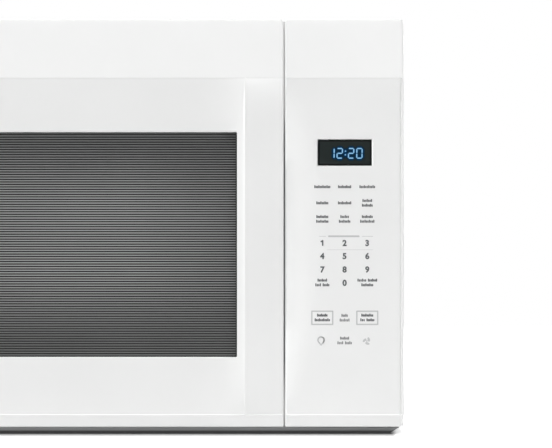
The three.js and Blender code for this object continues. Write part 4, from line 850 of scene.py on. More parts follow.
def front_solid(name, xs, zs, front, back, radii, taper, rounds=(EDGE_ROUND, EDGE_ROUND)):
    """A closed block with a moulded front.

    The front is a grid of x and z. Each corner's square is drawn onto a quarter disc, by keeping the larger
    of the two distances from the arc's centre as the radius, so the outline gets round corners. The distance
    to the outline sets the drop of the rounded edge. The chin's outer sides draw in towards the bottom.
    """
    x, z = np.meshgrid(xs, zs)
    left, right, low, high = xs[0], xs[-1], zs[0], zs[-1]
    drop = np.maximum.reduce([
        round_drop(x - left, rounds[0]), round_drop(right - x, rounds[1]),
        round_drop(z - low, END_ROUNDS[0]), round_drop(high - z, END_ROUNDS[1]),
    ])
    for (side, level), radius in radii.items():
        centre_x = left + radius if side < 0 else right - radius
        centre_z = low + radius if level < 0 else high - radius
        a = np.clip((x - centre_x) * side / radius, 0, None)
        b = np.clip((z - centre_z) * level / radius, 0, None)
        both = (a > 0) & (b > 0)
        shrink = np.where(both, np.maximum(a, b) / np.maximum(np.hypot(a, b), 1e-9), 1)
        x = np.where(both, centre_x + (x - centre_x) * shrink, x)
        z = np.where(both, centre_z + (z - centre_z) * shrink, z)
    y = front(x, z) + drop
    down = np.clip((CHIN_FOLD - z) / CHIN, 0, 1)
    across = (x - left) / (right - left)
    x = x + down * (taper[0] * (1 - across) ** 8 - taper[1] * across**8)
    points = np.stack([x, y, z], axis=-1).reshape(-1, 3)
    rows, columns = x.shape
    index = np.arange(rows * columns).reshape(rows, columns)
    loop = np.concatenate([index[0, :-1], index[:-1, -1], index[-1, :0:-1], index[:0:-1, 0]])
    wall = points[loop].copy()
    wall[:, 1] = back
    start, count = len(points), len(loop)
    i = np.arange(count)
    after = np.roll(i, -1)
    faces = grid_faces(rows, columns)
    faces += np.stack([loop, start + i, start + after, loop[after]], 1).tolist()
    faces.append(list(range(start + count - 1, start - 1, -1)))
    return make_object(name, np.vstack([points, wall]), faces, WHITE)


def rounded_loop(a0, a1, b0, b1, radius, steps=8):
    """Points round a rectangle with round corners, anticlockwise in (a, b)."""
    angle = np.radians(np.linspace(0, 90, steps + 1))
    quarter = math.pi / 2
    centres = [(a1 - radius, b0 + radius, -quarter), (a1 - radius, b1 - radius, 0),
               (a0 + radius, b1 - radius, quarter), (a0 + radius, b0 + radius, 2 * quarter)]
    return np.concatenate([
        np.stack([a + radius * np.cos(angle + turn), b + radius * np.sin(angle + turn)], 1)
        for a, b, turn in centres
    ])


def loft(name, rings, finish):
    """A closed solid from a stack of rings with equal point counts, its first and last ring capped."""
    rings = np.asarray(rings, float)
    levels, count, _ = rings.shape
    faces = grid_faces(levels, count, wrap_columns=True)
    faces.append(list(range(count))[::-1])
    faces.append(list(range((levels - 1) * count, levels * count)))
    return make_object(name, rings.reshape(-1, 3), faces, finish)


def opening_tool(low, high, front, back, radius):
    """A tool for an opening in the front: straight walls with round corners."""
    outline = rounded_loop(low[0], high[0], low[2], high[2], radius)
    rings = [np.stack([outline[:, 0], np.full(len(outline), y), outline[:, 1]], 1) for y in (back, front)]
    return loft("tool", rings, WHITE)


POCKET = {"depth": 12.0, "front": 9.5, "opening": 12.0, "low": 110.0, "high": 285.0, "radius": 5.0}


def pocket_tool():
    """The finger pocket behind the handle edge: a round-cornered channel cut in from the door's right."""
    front = CREST_Y + POCKET["front"]
    outline = rounded_loop(front, front + POCKET["opening"], POCKET["low"], POCKET["high"], POCKET["radius"])
    ends = (door_high[0] - POCKET["depth"], door_high[0] + 1)
    return loft("tool", [np.insert(outline, 0, x, axis=1) for x in ends], WHITE)


HINGE_END = 5.5  # radius of a leaf's round end, which its pin goes through
HINGE_AXIS = corners("upper_hinge")[0][:2] + HINGE_END
HINGE_PLAY = 0.7  # clearance above, below and beside a leaf
HINGE_ROOM = 2.6  # clearance in front of a leaf, for the door's turn
HINGE_BORE = 3.4
PIN_REACH = 16.0  # how far a pin's bore goes past its leaf
HINGE_BLOCK = 27.5  # width of the solid block about each pin
BLOCK_REACH = (21, 20)  # how far it goes below the upper leaf and above the lower one
LEAF_LEVELS = (  # underside and top of the upper and lower leaf, and which way its pin points
    (FRONT_TOP - 32.5, FRONT_TOP - 29.5, -1),
    (FRONT_BOTTOM + 17.3, FRONT_BOTTOM + 20.3, 1),
)
BACK_ROUND = 5.0  # radius of the door's rear edge at the hinge


def plain_tool(low, high):
    """A block with all but square edges, to cut with."""
    return slab("tool", low, high, WHITE, axis="z", corner=0.2, edge=0.02)


def hinge_blocks():
    """Where the door stays solid about its hinge pins."""
    left, right = door_low[0] - 1, door_low[0] + HINGE_BLOCK
    upper, lower = LEAF_LEVELS[0][1] - BLOCK_REACH[0], LEAF_LEVELS[1][1] + BLOCK_REACH[1]
    return [
        plain_tool((left, CREST_Y - 1, start), (right, DOOR_BACK + 2, end))
        for start, end in ((upper, FRONT_TOP + 1), (FRONT_BOTTOM - 1, lower))
    ]


def hinge_cuts():
    """Slots for the two leaves, bores for their pins, and the turned rear edge that swings past the case.

    The edge's tool is a prism over a corner less a quarter circle.
    """
    x, y = HINGE_AXIS
    cuts = []
    for low, high, towards in LEAF_LEVELS:
        cuts.append(plain_tool(
            (door_low[0] - 1, y - HINGE_END - HINGE_ROOM, low - HINGE_PLAY),
            (x + HINGE_END + HINGE_PLAY, DOOR_BACK + 1, high + HINGE_PLAY),
        ))
        start, end = (low, high + PIN_REACH) if towards > 0 else (low - PIN_REACH, high)
        profile = [(0, start), (HINGE_BORE, start), (HINGE_BORE, end), (0, end)]
        cuts.append(revolve("tool", profile, (x, y, 0), WHITE, segments=32))
    angle = np.radians(np.linspace(180, 90, 9))
    centre = np.array([door_low[0] + BACK_ROUND, DOOR_BACK - BACK_ROUND])
    arc = centre + BACK_ROUND * np.stack([np.cos(angle), np.sin(angle)], 1)
    left, behind = door_low[0] - 1, DOOR_BACK + 1
    outline = np.array([(left, centre[1]), *arc, (centre[0], behind), (left, behind)])
    rings = [np.insert(outline, 2, z, axis=1) for z in (FRONT_BOTTOM - 5, FRONT_TOP + 5)]
    cuts.append(loft("tool", rings, WHITE))
    return cuts


def door_columns():
    """The upright grid lines of the door's front, closest across its edges and the crest."""
    return unique_lines(
        edge_lines(door_low[0], 1),
        dense(door_low[0] + 8, CREST_X - SWEEP_WIDTH, 12),
        dense(CREST_X - SWEEP_WIDTH, CREST_X, 46),
        dense(CREST_X - 2.5, CREST_X + 2.5, 21),
        dense(CREST_X, door_high[0] - EDGE_ROUND, 16),
        edge_lines(door_high[0] + SEAM_LIP, -1, SEAM_ROUND),
    )


def front_rows():
    """The level grid lines of both mouldings' fronts, closest across edges and folds."""
    return unique_lines(
        edge_lines(FRONT_BOTTOM, 1, END_ROUNDS[0]),
        fold_lines(CHIN_FOLD),
        dense(CHIN_FOLD + FOLD_SPAN, CHIN_FOLD + NEAR_FOLD, 26),
        dense(CHIN_FOLD + NEAR_FOLD, TOP_FOLD - NEAR_FOLD, 60),
        dense(TOP_FOLD - NEAR_FOLD, TOP_FOLD - FOLD_SPAN, 26),
        fold_lines(TOP_FOLD),
        dense(TOP_FOLD + FOLD_SPAN, FRONT_TOP - EDGE_ROUND, 12),
        edge_lines(FRONT_TOP, -1, END_ROUNDS[1]),
    )


def hollow_rows():
    """Grid lines of a moulding's hollow, from its lower border to its upper one."""
    return unique_lines(
        dense(FRONT_BOTTOM + RIM, CHIN_FOLD, 4),
        dense(CHIN_FOLD, TOP_FOLD, 60),
        dense(TOP_FOLD, FRONT_TOP - RIM, 6),
    )


def hollow_tool(columns, front, back):
    """What a moulding is hollowed with: its front moved back by the skin, with small round corners."""
    corner_radii = {(side, level): 1.0 for side in (-1, 1) for level in (-1, 1)}
    return front_solid(
        "tool", columns, hollow_rows(), lambda x, z: front(x, z) + SKIN, back + 1, corner_radii, (0.0, 0.0),
    )


def make_door_shell():
    """The door's outer moulding: a fine front, hollow behind, open for the window, with the finger pocket."""
    radii = {(-1, -1): 1.5, (1, -1): 1.6, (1, 1): 4.0, (-1, 1): 2.0}
    shell = front_solid(
        "door_shell", door_columns(), front_rows(), door_front, DOOR_BACK, radii, (CHIN_TAPER, 0.0),
        (EDGE_ROUND, SEAM_ROUND),
    )
    hollow_columns = unique_lines(
        dense(door_low[0] + RIM, CREST_X - SWEEP_WIDTH, 8),
        dense(CREST_X - SWEEP_WIDTH, CREST_X, 24),
        dense(CREST_X, door_high[0] - HANDLE_COLUMN, 6),
    )
    hollow = carve(hollow_tool(hollow_columns, door_front, DOOR_BACK), hinge_blocks())
    window = opening_tool(window_low, window_high, CREST_Y - 1, DOOR_BACK, 1.2)
    carve(shell, [hollow, window, pocket_tool(), *hinge_cuts()])
    return finish_piece(shell, "door", "white_moulding", "door_frame")


def make_panel_shell():
    """The control panel's moulding: a fine scooped front, hollow behind, open for the display."""
    columns = unique_lines(
        edge_lines(PANEL_LEFT - SEAM_LIP, 1, SEAM_ROUND),
        dense(PANEL_LEFT + EDGE_ROUND, PANEL_LEFT + SCOOP_WIDTH, 48),
        dense(PANEL_LEFT + SCOOP_WIDTH, panel_high[0] - 6, 10),
        dense(panel_high[0] - 6, panel_high[0] - 1.5, 28),
        edge_lines(panel_high[0], -1),
    )
    radii = {(-1, -1): 1.6, (1, -1): 1.5, (1, 1): 2.0, (-1, 1): 4.0}
    shell = front_solid(
        "panel_shell", columns, front_rows(), panel_front, panel_high[1], radii, (0.0, CHIN_TAPER),
        (SEAM_ROUND, EDGE_ROUND),
    )
    hollow_columns = unique_lines(
        dense(PANEL_LEFT + RIM, PANEL_LEFT + SCOOP_WIDTH, 30),
        dense(PANEL_LEFT + SCOOP_WIDTH, panel_high[0] - RIM, 6),
    )
    hollow = hollow_tool(hollow_columns, panel_front, panel_high[1])
    display = opening_tool(
        display_low - DISPLAY_PLAY[0], display_high + DISPLAY_PLAY[1], CREST_Y, panel_high[1], 0.8,
    )
    carve(shell, [hollow, display])
    finish_piece(shell, "cabinet", "white_moulding", "control_fascia")


door_shell = make_door_shell()
make_panel_shell()

# ---------------------------------------------------------------- window pane

PANE_RIM = 1.1  # bare border round the printed lines
PANE_OVERLAP = 0.5  # how far the raised face reaches into the flange
LINES_LIFT, LINES_SINK = 0.04, 0.3  # the printed plate before and behind the pane's face


def make_window_pane():
    """The window's glass: a flange behind the skin, a raised face in the opening, and printed lines with a
    painted glow on that face.
    """
    pane = slab("window_pane", pane_low + [0, SKIN, 0], pane_high, FINISHES["window_glass"], corner=2.0)
    low, high = window_low + FIT, window_high - FIT
    low[1], high[1] = pane_low[1], pane_low[1] + SKIN + PANE_OVERLAP
    face = slab("tool", low, high, FINISHES["window_glass"], corner=1.2, edge=0.4)
    carve(pane, [face], "UNION")
    print_low, print_high = low + PANE_RIM, high - PANE_RIM
    print_low[1], print_high[1] = pane_low[1] - LINES_LIFT, pane_low[1] + LINES_SINK
    lines = slab("window_print_and_glow", print_low, print_high, WINDOW_PRINT_AND_GLOW, corner=0.8, edge=0.02)
    finish_piece(pane, "door", "window_glass", "door_window")
    finish_piece(lines, "door", "window_glass")


make_window_pane()

# ---------------------------------------------------------------- display and touch-key legends

DISPLAY_BORDER = 1.2  # stroke of the dull line round the display
BORDER_INSET = 0.9  # the line's middle, in from the cover's edge


def display_face(x, z):
    """The display's flat front."""
    return np.full(np.shape(x), display_low[1])


def make_display_pane():
    """The display's glossy cover in its opening, with a dull line round its edge."""
    pane = slab("display_pane", display_low, display_high, FINISHES["display_black"], corner=0.8, edge=0.3)
    finish_piece(pane, "cabinet", "display_black", "display_window")
    border = Print("display_border", DISPLAY_EDGE, display_face, 0.03, 0.1)
    middle, size = (display_low + display_high) / 2, display_high - display_low - 2 * BORDER_INSET
    frame_lines(border, middle[0], middle[2], size[0], size[2], DISPLAY_BORDER)
    border.make("cabinet", "display_black")


SEGMENTS = {"0": "abcdef", "1": "bc", "2": "abged"}


def segment_bars(width, height):
    """Centre lines of a digit's segments, in its own box."""
    middle = height / 2
    return {
        "a": ((0, height), (width, height)), "g": ((0, middle), (width, middle)), "d": ((0, 0), (width, 0)),
        "f": ((0, middle), (0, height)), "b": ((width, middle), (width, height)),
        "e": ((0, 0), (0, middle)), "c": ((width, 0), (width, middle)),
    }


def pointed_bar(start, end, thick, gap):
    """A segment with pointed ends between two points, as a six-cornered outline."""
    start, end = np.array(start, float), np.array(end, float)
    along = (end - start) / np.linalg.norm(end - start)
    across = np.array([-along[1], along[0]]) * thick / 2
    first, last = start + along * gap, end - along * gap
    half = along * thick / 2
    return np.array([first, first + half - across, last - half - across, last,
                     last - half + across, first + half + across])


FONT_HEIGHT = 0.7  # of a digit, as a share of the font's size
FONT_WEIGHT = 0.045  # how much bolder each outline is made, as a share of the same


class Print:
    """Outlines gathered on the front, each made a thin plate that stands a hair proud of its surface."""

    def __init__(self, name, finish, surface, thick=0.08, sink=0.12):
        self.name, self.finish, self.surface = name, finish, surface
        self.thick, self.sink = thick, sink
        self.points, self.faces = [], []

    def lay(self, x, z):
        """Adds points just before the surface, and again just behind it."""
        ground = self.surface(x, z)
        for lift in (-self.thick, self.sink):
            self.points.extend(np.stack([x, ground + lift, z], 1).tolist())

    def plate(self, outline):
        """Adds a flat outline in (x, z), anticlockwise as seen from the front."""
        outline = np.asarray(outline, float)
        count, start = len(outline), len(self.points)
        self.lay(outline[:, 0], outline[:, 1])
        self.faces.append(list(range(start, start + count)))
        self.faces.append(list(range(start + 2 * count - 1, start + count - 1, -1)))
        rim = np.arange(start, start + count)
        after = np.roll(rim, -1)
        self.faces += np.stack([rim, rim + count, after + count, after], 1).tolist()

    def strip(self, start, end, thick):
        """A straight stroke with round ends, in short steps so that it follows the surface.

        Its half width is the height of a circle's arc within a radius of either end.
        """
        start, end = np.array(start, float), np.array(end, float)
        length = np.linalg.norm(end - start)
        along = (end - start) / length
        across = np.array([-along[1], along[0]])
        radius = min(thick / 2, length / 2)
        ends = radius * (1 - np.cos(np.radians(np.linspace(8, 90, 5))))
        middle = np.linspace(radius, length - radius, max(2, int(length / 1.5)))
        places = np.unique(np.concatenate([ends, middle, length - ends]).round(4))
        inward = np.clip(radius - np.minimum(places, length - places), 0, radius)
        half = np.sqrt(np.maximum(radius**2 - inward**2, 1e-4)) * (thick / 2) / radius
        middle = start + places[:, None] * along
        edges = np.concatenate([middle + side * half[:, None] * across for side in (-1, 1)])
        count, base = len(places), len(self.points)
        self.lay(edges[:, 0], edges[:, 1])
        grid = np.array(grid_faces(2, count))
        self.faces += (grid + base).tolist() + (grid[:, ::-1] + base + 2 * count).tolist()
        rim = np.concatenate([np.arange(count), np.arange(2 * count - 1, count - 1, -1)]) + base
        after = np.roll(rim, -1)
        self.faces += np.stack([after, rim, rim + 2 * count, after + 2 * count], 1).tolist()

    def bar(self, x, z, width, height):
        """A level bar with round ends about a point."""
        self.strip((x - width / 2, z), (x + width / 2, z), height)

    def stroke(self, points, thick):
        """Straight strokes along a chain of points, each reaching half its thickness past its ends."""
        points = np.asarray(points, float)
        for start, end in zip(points[:-1], points[1:]):
            length = np.linalg.norm(end - start)
            if length > 0.01:
                over = (end - start) * thick / 2 / length
                self.strip(start - over, end + over, thick)

    def digit(self, text, x, z, height):
        """A digit from the built-in font, centred on a point and laid onto the front."""
        curve = bpy.data.curves.new(self.name, "FONT")
        curve.body = text
        curve.size = height / FONT_HEIGHT
        curve.align_x = "CENTER"
        curve.resolution_u = 4
        curve.offset = FONT_WEIGHT * curve.size
        words = new_object(self.name, curve)
        mesh = bpy.data.meshes.new_from_object(words.evaluated_get(bpy.context.evaluated_depsgraph_get()))
        bpy.data.objects.remove(words)
        flat = np.empty(len(mesh.vertices) * 3)
        mesh.vertices.foreach_get("co", flat)
        flat = flat.reshape(-1, 3)
        count, start = len(flat), len(self.points)
        self.lay(flat[:, 0] + x, flat[:, 1] + z - height / 2)
        edges = {}
        for polygon in mesh.polygons:
            loop = [start + i for i in polygon.vertices]
            if polygon.normal.z < 0:
                loop.reverse()
            self.faces.append(loop)
            self.faces.append([count + i for i in reversed(loop)])
            edges.update(dict.fromkeys(zip(loop, loop[1:] + loop[:1])))
        for first, second in edges:
            if (second, first) not in edges:
                self.faces.append([first, count + first, count + second, second])

    def make(self, body, slot):
        """The gathered plates as one piece on a body."""
        made = make_object(self.name, self.points, self.faces, self.finish, 20.0)
        return finish_piece(made, body, slot)


# Places on the panel are real sizes, in millimetres from its left edge and from the front's lower edge.
COLUMNS = (38.5, 61.8, 85.5)
CLOCK_PLACES = (11.2, 19.8, 31.7, 40.4)  # left edge of each digit, from the display's left edge
CLOCK_COLON = 28.5
CLOCK_BASE = 7.5
CLOCK_WIDTH = 5.5
CLOCK_HEIGHT = 10.05
CLOCK_SLANT = 0.015
CLOCK_DOTS = (0.345, 0.715)  # levels of the colon's dots, as shares of the height
CLOCK_LAYERS = (  # finish, stroke, how far its ends draw in, how far it stands proud
    (SEGMENT_GLOW, 1.1, 0.2, 0.08),
    (INNER_GLOW, 2.0, -0.2, 0.06),
    (MIDDLE_GLOW, 3.6, -1.0, 0.04),
    (OUTER_GLOW, 6.0, -2.2, 0.02),
)


def make_clock():
    """The clock's lit segments on the display: four slanted digits and a colon, each with a dim halo."""

    def lean(outline):
        return outline + np.stack([outline[:, 1] * CLOCK_SLANT, np.zeros(len(outline))], 1)

    corner = np.array([display_low[0], display_low[2] + CLOCK_BASE])
    angle = np.radians(np.arange(0, 360, 30))
    for layer, (finish, stroke, gap, lift) in enumerate(CLOCK_LAYERS):
        plan = Print(f"clock_layer_{layer + 1}", finish, display_face, lift, 0.1)
        for place, digit in zip(CLOCK_PLACES, "1220"):
            for name in SEGMENTS[digit]:
                start, end = segment_bars(CLOCK_WIDTH, CLOCK_HEIGHT)[name]
                plan.plate(lean(pointed_bar(start, end, stroke, gap)) + corner + [place, 0])
        for level in CLOCK_DOTS:
            dot = np.stack([np.cos(angle), np.sin(angle)], 1) * stroke * 0.6 + [0, CLOCK_HEIGHT * level]
            plan.plate(lean(dot) + corner + [CLOCK_COLON, 0])
        plan.make("cabinet", "display_black")


# Plain marks stand where the real keys carry words. A legend is a list of lines, each a list of lengths.
WORD_ROWS = (
    (250.6, ([[17.0]], [[14.0]], [[16.6]])),
    (233.7, ([[12.8]], [[14.2]], [[10.4], [11.4]])),
    (216.9, ([[12.6], [13.0]], [[9.2], [12.2]], [[11.6], [15.2]])),
)
MARK_PITCH = 1.45
MARK_WIDTH = 1.2
MARK_FOOT = 1.3
MARK_TOPS = (1.95, 1.25, 1.25)  # in turn
BOLD_WIDTH = 1.25
WORD_GAP = 1.6
LINE_PITCH = 4.9
DIGIT_HEIGHT = 5.9
DIGIT_ROWS = ((192.1, "123"), (178.5, "456"), (164.5, "789"), (150.5, " 0 "))
ONE_SHAPE = np.array([(-1.1, 1.5), (0.4, 2.4), (0.4, -2.4)])  # strokes of the digit 1 about its place
ONE_STROKE = 1.55
RULES = (  # height, left end, right end, thickness
    (199.1, 35.1, 42.4, 0.5), (199.1, 44.5, 77.4, 1.7), (199.1, 80.0, 91.5, 0.5), (185.0, 43.5, 91.5, 0.3),
)
SIDE_LEGENDS = ((0, [[10.2], [6.2, 7.2]]), (2, [[9.4, 9.8], [12.6]]))
BOX_HEIGHT = 113.9
BOX_SIZE = (21.8, 13.8)
BOX_LINE = 1.3
BOX_LEGENDS = ((0, [[11.0], [16.2]]), (2, [[12.6], [5.0, 8.4]]))
SET_LEGEND = (113.7, [[6.8], [10.6]])
LIGHT_PLACE = (37.2, 89.8)
FAN_PLACE = (85.1, 89.6)
TIMER_LEGEND = (89.9, [[9.6], [6.4, 7.4]])


def marks(plan, left, z, length, width):
    """A run of short upright strokes, the first and every third one taller: plain marks as long as a word."""
    count = max(2, round(length / MARK_PITCH))
    for i in range(count):
        x = left + (i + 0.5) * length / count
        plan.strip((x, z - MARK_FOOT), (x, z + MARK_TOPS[i % 3]), width)


def legend(plan, x, z, lines, width=MARK_WIDTH):
    """The marks of a legend, each line centred on a point's place and a pitch below the one before."""
    for i, lengths in enumerate(lines):
        height = z + LINE_PITCH * ((len(lines) - 1) / 2 - i)
        left = x - (sum(lengths) + WORD_GAP * (len(lengths) - 1)) / 2
        for length in lengths:
            marks(plan, left, height, length, width)
            left += length + WORD_GAP


def frame_lines(plan, x, z, width, height, thick):
    """A thin outlined box of four strokes."""
    for side in (-1, 1):
        plan.bar(x, z + side * height / 2, width + thick, thick)
        plan.strip((x + side * width / 2, z - height / 2), (x + side * width / 2, z + height / 2), thick)


BULB_RADIUS = 3.3


def lamp_symbol(plan, x, z):
    """A lamp symbol: a round bulb open below, its neck and two base lines."""
    angle = np.radians(np.linspace(-50, 230, 15))
    bulb = np.stack([x + BULB_RADIUS * np.cos(angle), z + 0.9 + BULB_RADIUS * np.sin(angle)], 1)
    plan.stroke(np.concatenate([[[x + 1.3, z - 2.7]], bulb, [[x - 1.3, z - 2.7]]]), 1.25)
    plan.bar(x, z - 3.4, 3.0, 0.8)
    plan.bar(x, z - 4.4, 2.0, 0.8)


def fan_symbol(plan, x, z):
    """A fan symbol: three blades about a hub.

    A blade is a band about a curve that bends round as it goes out. Its half width follows a sine.
    """
    t = np.linspace(0, 1, 9)
    for turn in (20, 140, 260):
        angle = np.radians(turn + 45 * t)
        out = np.stack([np.cos(angle), np.sin(angle)], 1)
        across = np.stack([-out[:, 1], out[:, 0]], 1) * (0.4 + 1.6 * np.sin(np.pi * t**0.8))[:, None]
        middle = out * (1.0 + 3.3 * t)[:, None]
        plan.plate(np.concatenate([middle - across, (middle + across)[::-1]]) + [x, z])
    angle = np.radians(np.arange(0, 360, 40))
    plan.plate(np.stack([x + 0.8 * np.cos(angle), z + 0.8 * np.sin(angle)], 1))


def make_legends():
    """The touch keys' prints: digits, plain marks in place of words, two boxes, rules and two symbols."""
    dark = Print("key_prints", PRINT_DARK, panel_front)
    soft = Print("key_soft_prints", PRINT_GREY, panel_front)
    faint = Print("key_faint_prints", PRINT_PALE, panel_front)
    columns = [PANEL_LEFT + c for c in COLUMNS]
    for height, cells in WORD_ROWS:
        for x, lengths in zip(columns, cells):
            legend(dark, x, FRONT_BOTTOM + height, lengths)
    for height, digits in DIGIT_ROWS:
        for x, digit in zip(columns, digits):
            if digit == "1":
                dark.stroke(ONE_SHAPE + [x, FRONT_BOTTOM + height], ONE_STROKE)
            elif digit != " ":
                dark.digit(digit, x, FRONT_BOTTOM + height, DIGIT_HEIGHT)
    for height, left, right, thick in RULES:
        faint.bar(PANEL_LEFT + (left + right) / 2, FRONT_BOTTOM + height, right - left, thick)
    for column, lengths in SIDE_LEGENDS:
        legend(dark, columns[column], FRONT_BOTTOM + DIGIT_ROWS[-1][0], lengths)
    for column, lengths in BOX_LEGENDS:
        frame_lines(faint, columns[column], FRONT_BOTTOM + BOX_HEIGHT, *BOX_SIZE, BOX_LINE)
        legend(dark, columns[column], FRONT_BOTTOM + BOX_HEIGHT, lengths, BOLD_WIDTH)
    for height, lengths in (SET_LEGEND, TIMER_LEGEND):
        legend(soft, columns[1], FRONT_BOTTOM + height, lengths)
    lamp_symbol(faint, PANEL_LEFT + LIGHT_PLACE[0], FRONT_BOTTOM + LIGHT_PLACE[1])
    fan_symbol(faint, PANEL_LEFT + FAN_PLACE[0], FRONT_BOTTOM + FAN_PLACE[1])
    for plan, slot in ((dark, "black_plastic"), (soft, "grey_plastic"), (faint, "grey_plastic")):
        plan.make("cabinet", slot)


make_display_pane()
make_clock()
make_legends()

# ---------------------------------------------------------------- turntable

tray_low, tray_high = corners("glass_tray")
ring_low, ring_high = corners("roller_ring")
TURN = np.array([(tray_low[0] + tray_high[0]) / 2, (tray_low[1] + tray_high[1]) / 2, 0.0])
TRAY_RADIUS = (tray_high[0] - tray_low[0]) / 2
THIRDS = np.radians([0, 120, 240])
LUG_DEPTH = 5.0
LUG_REACH = (13, 20)  # from the tray's axis
LUG_HALF = 4
TRAY_WALL = 4.6
TRAY_SLOPE = 14  # width of the sloping border
FOOT_RADII = (60, 62)  # where the underside steps up from the foot
FOOT_STEP = 0.6
RING_RADIUS = 104.5
RING_BAND = 10.0
RING_WALL = 2.0
RING_TOP = 1.8
RING_HALF = 4  # half the hoop's height
AXLE_RADIUS = 2.2


def make_tray():
    """The glass tray: a shallow turned dish with a rolled rim, a stepped floor and three drive lugs below."""
    base, top = tray_low[2] + LUG_DEPTH, tray_high[2]
    dish = TRAY_RADIUS - TRAY_SLOPE
    profile = filleted([
        (0, base), (FOOT_RADII[0], base), (FOOT_RADII[1], base + FOOT_STEP), (dish - 8, base + FOOT_STEP),
        (dish - 6, base), (dish + 3, base), (TRAY_RADIUS, top - 3), (TRAY_RADIUS - 1, top),
        (TRAY_RADIUS - 4, top), (dish, base + TRAY_WALL), (0, base + TRAY_WALL),
    ], 1.6, 6)
    tray = revolve("turntable_tray", profile, TURN, FINISHES["clear_glass"], segments=144, smooth_degrees=50)
    lugs = []
    for angle in THIRDS + np.radians(60):
        low, high = (LUG_REACH[0], -LUG_HALF, base - LUG_DEPTH), (LUG_REACH[1], LUG_HALF, base + 1)
        lug = slab("lug", low, high, FINISHES["clear_glass"], axis="z", corner=1.2, edge=0.8)
        lugs.append(turn_about_z(lug, angle, TURN))
    smooth(carve(tray, lugs, "UNION"), 50)
    finish_piece(tray, "turntable", "clear_glass", "glass_tray")


def turn_about_z(made, angle, place):
    """Turns a mesh about the upright axis and moves it, both in its points."""
    points = np.empty(len(made.data.vertices) * 3)
    made.data.vertices.foreach_get("co", points)
    points = points.reshape(-1, 3)
    cosine, sine = np.cos(angle), np.sin(angle)
    x = points[:, 0] * cosine - points[:, 1] * sine + place[0] * MM
    y = points[:, 0] * sine + points[:, 1] * cosine + place[1] * MM
    made.data.vertices.foreach_set("co", np.stack([x, y, points[:, 2] + place[2] * MM], 1).ravel())
    return made


def make_ring():
    """The roller ring: a channel-shaped hoop and the three axles that its rollers turn on."""
    outer, inner = RING_RADIUS, RING_RADIUS - RING_BAND
    middle = (ring_low[2] + ring_high[2]) / 2
    low, high = middle - RING_HALF, middle + RING_HALF
    roof = high - RING_TOP
    profile = filleted([
        (inner, low), (inner + RING_WALL, low), (inner + RING_WALL, roof), (outer - RING_WALL, roof),
        (outer - RING_WALL, low), (outer, low), (outer, high), (inner, high),
    ], 0.5, 4, closed=True)
    pieces = [revolve("ring_hoop", profile, TURN, FINISHES["cream_plastic"], segments=144, closed=True)]
    start, end = inner + 4, ring_high[1] - TURN[1]
    profile = filleted([(0, start), (AXLE_RADIUS, start), (AXLE_RADIUS, end), (0, end)], 0.5, 4)
    for angle in THIRDS + np.radians(90):
        axle = revolve("axle", profile, (0, 0, middle), FINISHES["cream_plastic"], axis="x", segments=24)
        pieces.append(turn_about_z(axle, angle, TURN))
    ring = smooth(join_pieces("turntable_ring", pieces))
    finish_piece(ring, "ring", "cream_plastic", "roller_ring")


def make_rollers():
    """Each roller: a small wheel with a rounded tread and a bored hub."""
    circle, length, radius, bore = 111.0, 9.0, 8.0, 2.5
    middle = (ring_low[2] + ring_high[2]) / 2
    low, high = circle - length / 2, circle + length / 2
    dished = low + 0.8  # the level of the side's shallow hollow
    half = [(bore, low), (bore + 1.6, low), (bore + 2.2, dished), (radius - 1.4, dished), (radius - 1.0, low),
            (radius, low + 1.4)]
    profile = filleted(half + [(r, 2 * circle - level) for r, level in half[::-1]], 0.35, 3, closed=True)
    for i, body in enumerate(("first_roller", "second_roller", "third_roller")):
        wheel = revolve(f"roller_wheel_{i + 1}", profile, (0, 0, middle), FINISHES["cream_plastic"], axis="x",
                        segments=48, closed=True)
        turn_about_z(wheel, THIRDS[i] + np.radians(90), TURN)
        finish_piece(wheel, body, "cream_plastic", f"roller_{i + 1}")


make_tray()
make_ring()
make_rollers()

# ---------------------------------------------------------------- grease filters

ALUMINIUM = FINISHES["aluminium"]
WIRE = 0.45  # radius
WIRE_PITCH = 4.2
WIRE_LIFT = 0.5  # how far a wire passes over and under the others
MESH_LEVELS = (2.0, 4.4)  # of the two woven layers above the frame's underside
FILTER_DEPTH = 6.5
FILTER_BORDER = 11.0
STAY_HALF = 3
STAY_LEVELS = (0.6, 1.5)
PULL_INSET = 28  # of the pull ring from the filter's front edge
PULL_RADIUS = 11
PULL_WIRE = 0.9


def make_filter(side):
    """A grease filter: a rolled frame round a woven wire mesh, a stay across it and a pull ring of the
    folding kind, made fixed in one pose.
    """
    low, high = corners(f"grease_filter_{side}")
    seat = high[2] - FILTER_DEPTH
    plate = slab("frame", (low[0], low[1], seat), high, ALUMINIUM, axis="z", corner=5, edge=1.4)
    inner = [FILTER_BORDER, FILTER_BORDER, 0]
    hole_low, hole_high = low + inner, high - inner
    hole_low[2], hole_high[2] = seat - 1, high[2] + 1
    smooth(carve(plate, [slab("tool", hole_low, hole_high, ALUMINIUM, axis="z", corner=4, edge=0.01)]))
    x0, x1, y0, y1 = hole_low[0] - 2, hole_high[0] + 2, hole_low[1] - 2, hole_high[1] + 2
    middle = (x0 + x1) / 2
    x_lines, y_lines = (np.arange(start + 2, end - 1, WIRE_PITCH) for start, end in ((x0, x1), (y0, y1)))
    layers = [woven(x_lines, y_lines, (x0, x1, y0, y1), seat + level) for level in MESH_LEVELS]
    stay_low = (middle - STAY_HALF, y0, seat + STAY_LEVELS[0])
    stay_high = (middle + STAY_HALF, y1, seat + STAY_LEVELS[1])
    stay = slab("stay", stay_low, stay_high, ALUMINIUM, axis="z", corner=1, edge=0.3)
    ring = pull_ring(middle, low[1] + PULL_INSET, seat, low[2])
    made = join_pieces(f"filter_mesh_{side}", [plate, *layers, stay, ring])
    finish_piece(made, f"{side}_filter", "aluminium", f"grease_filter_{side}")


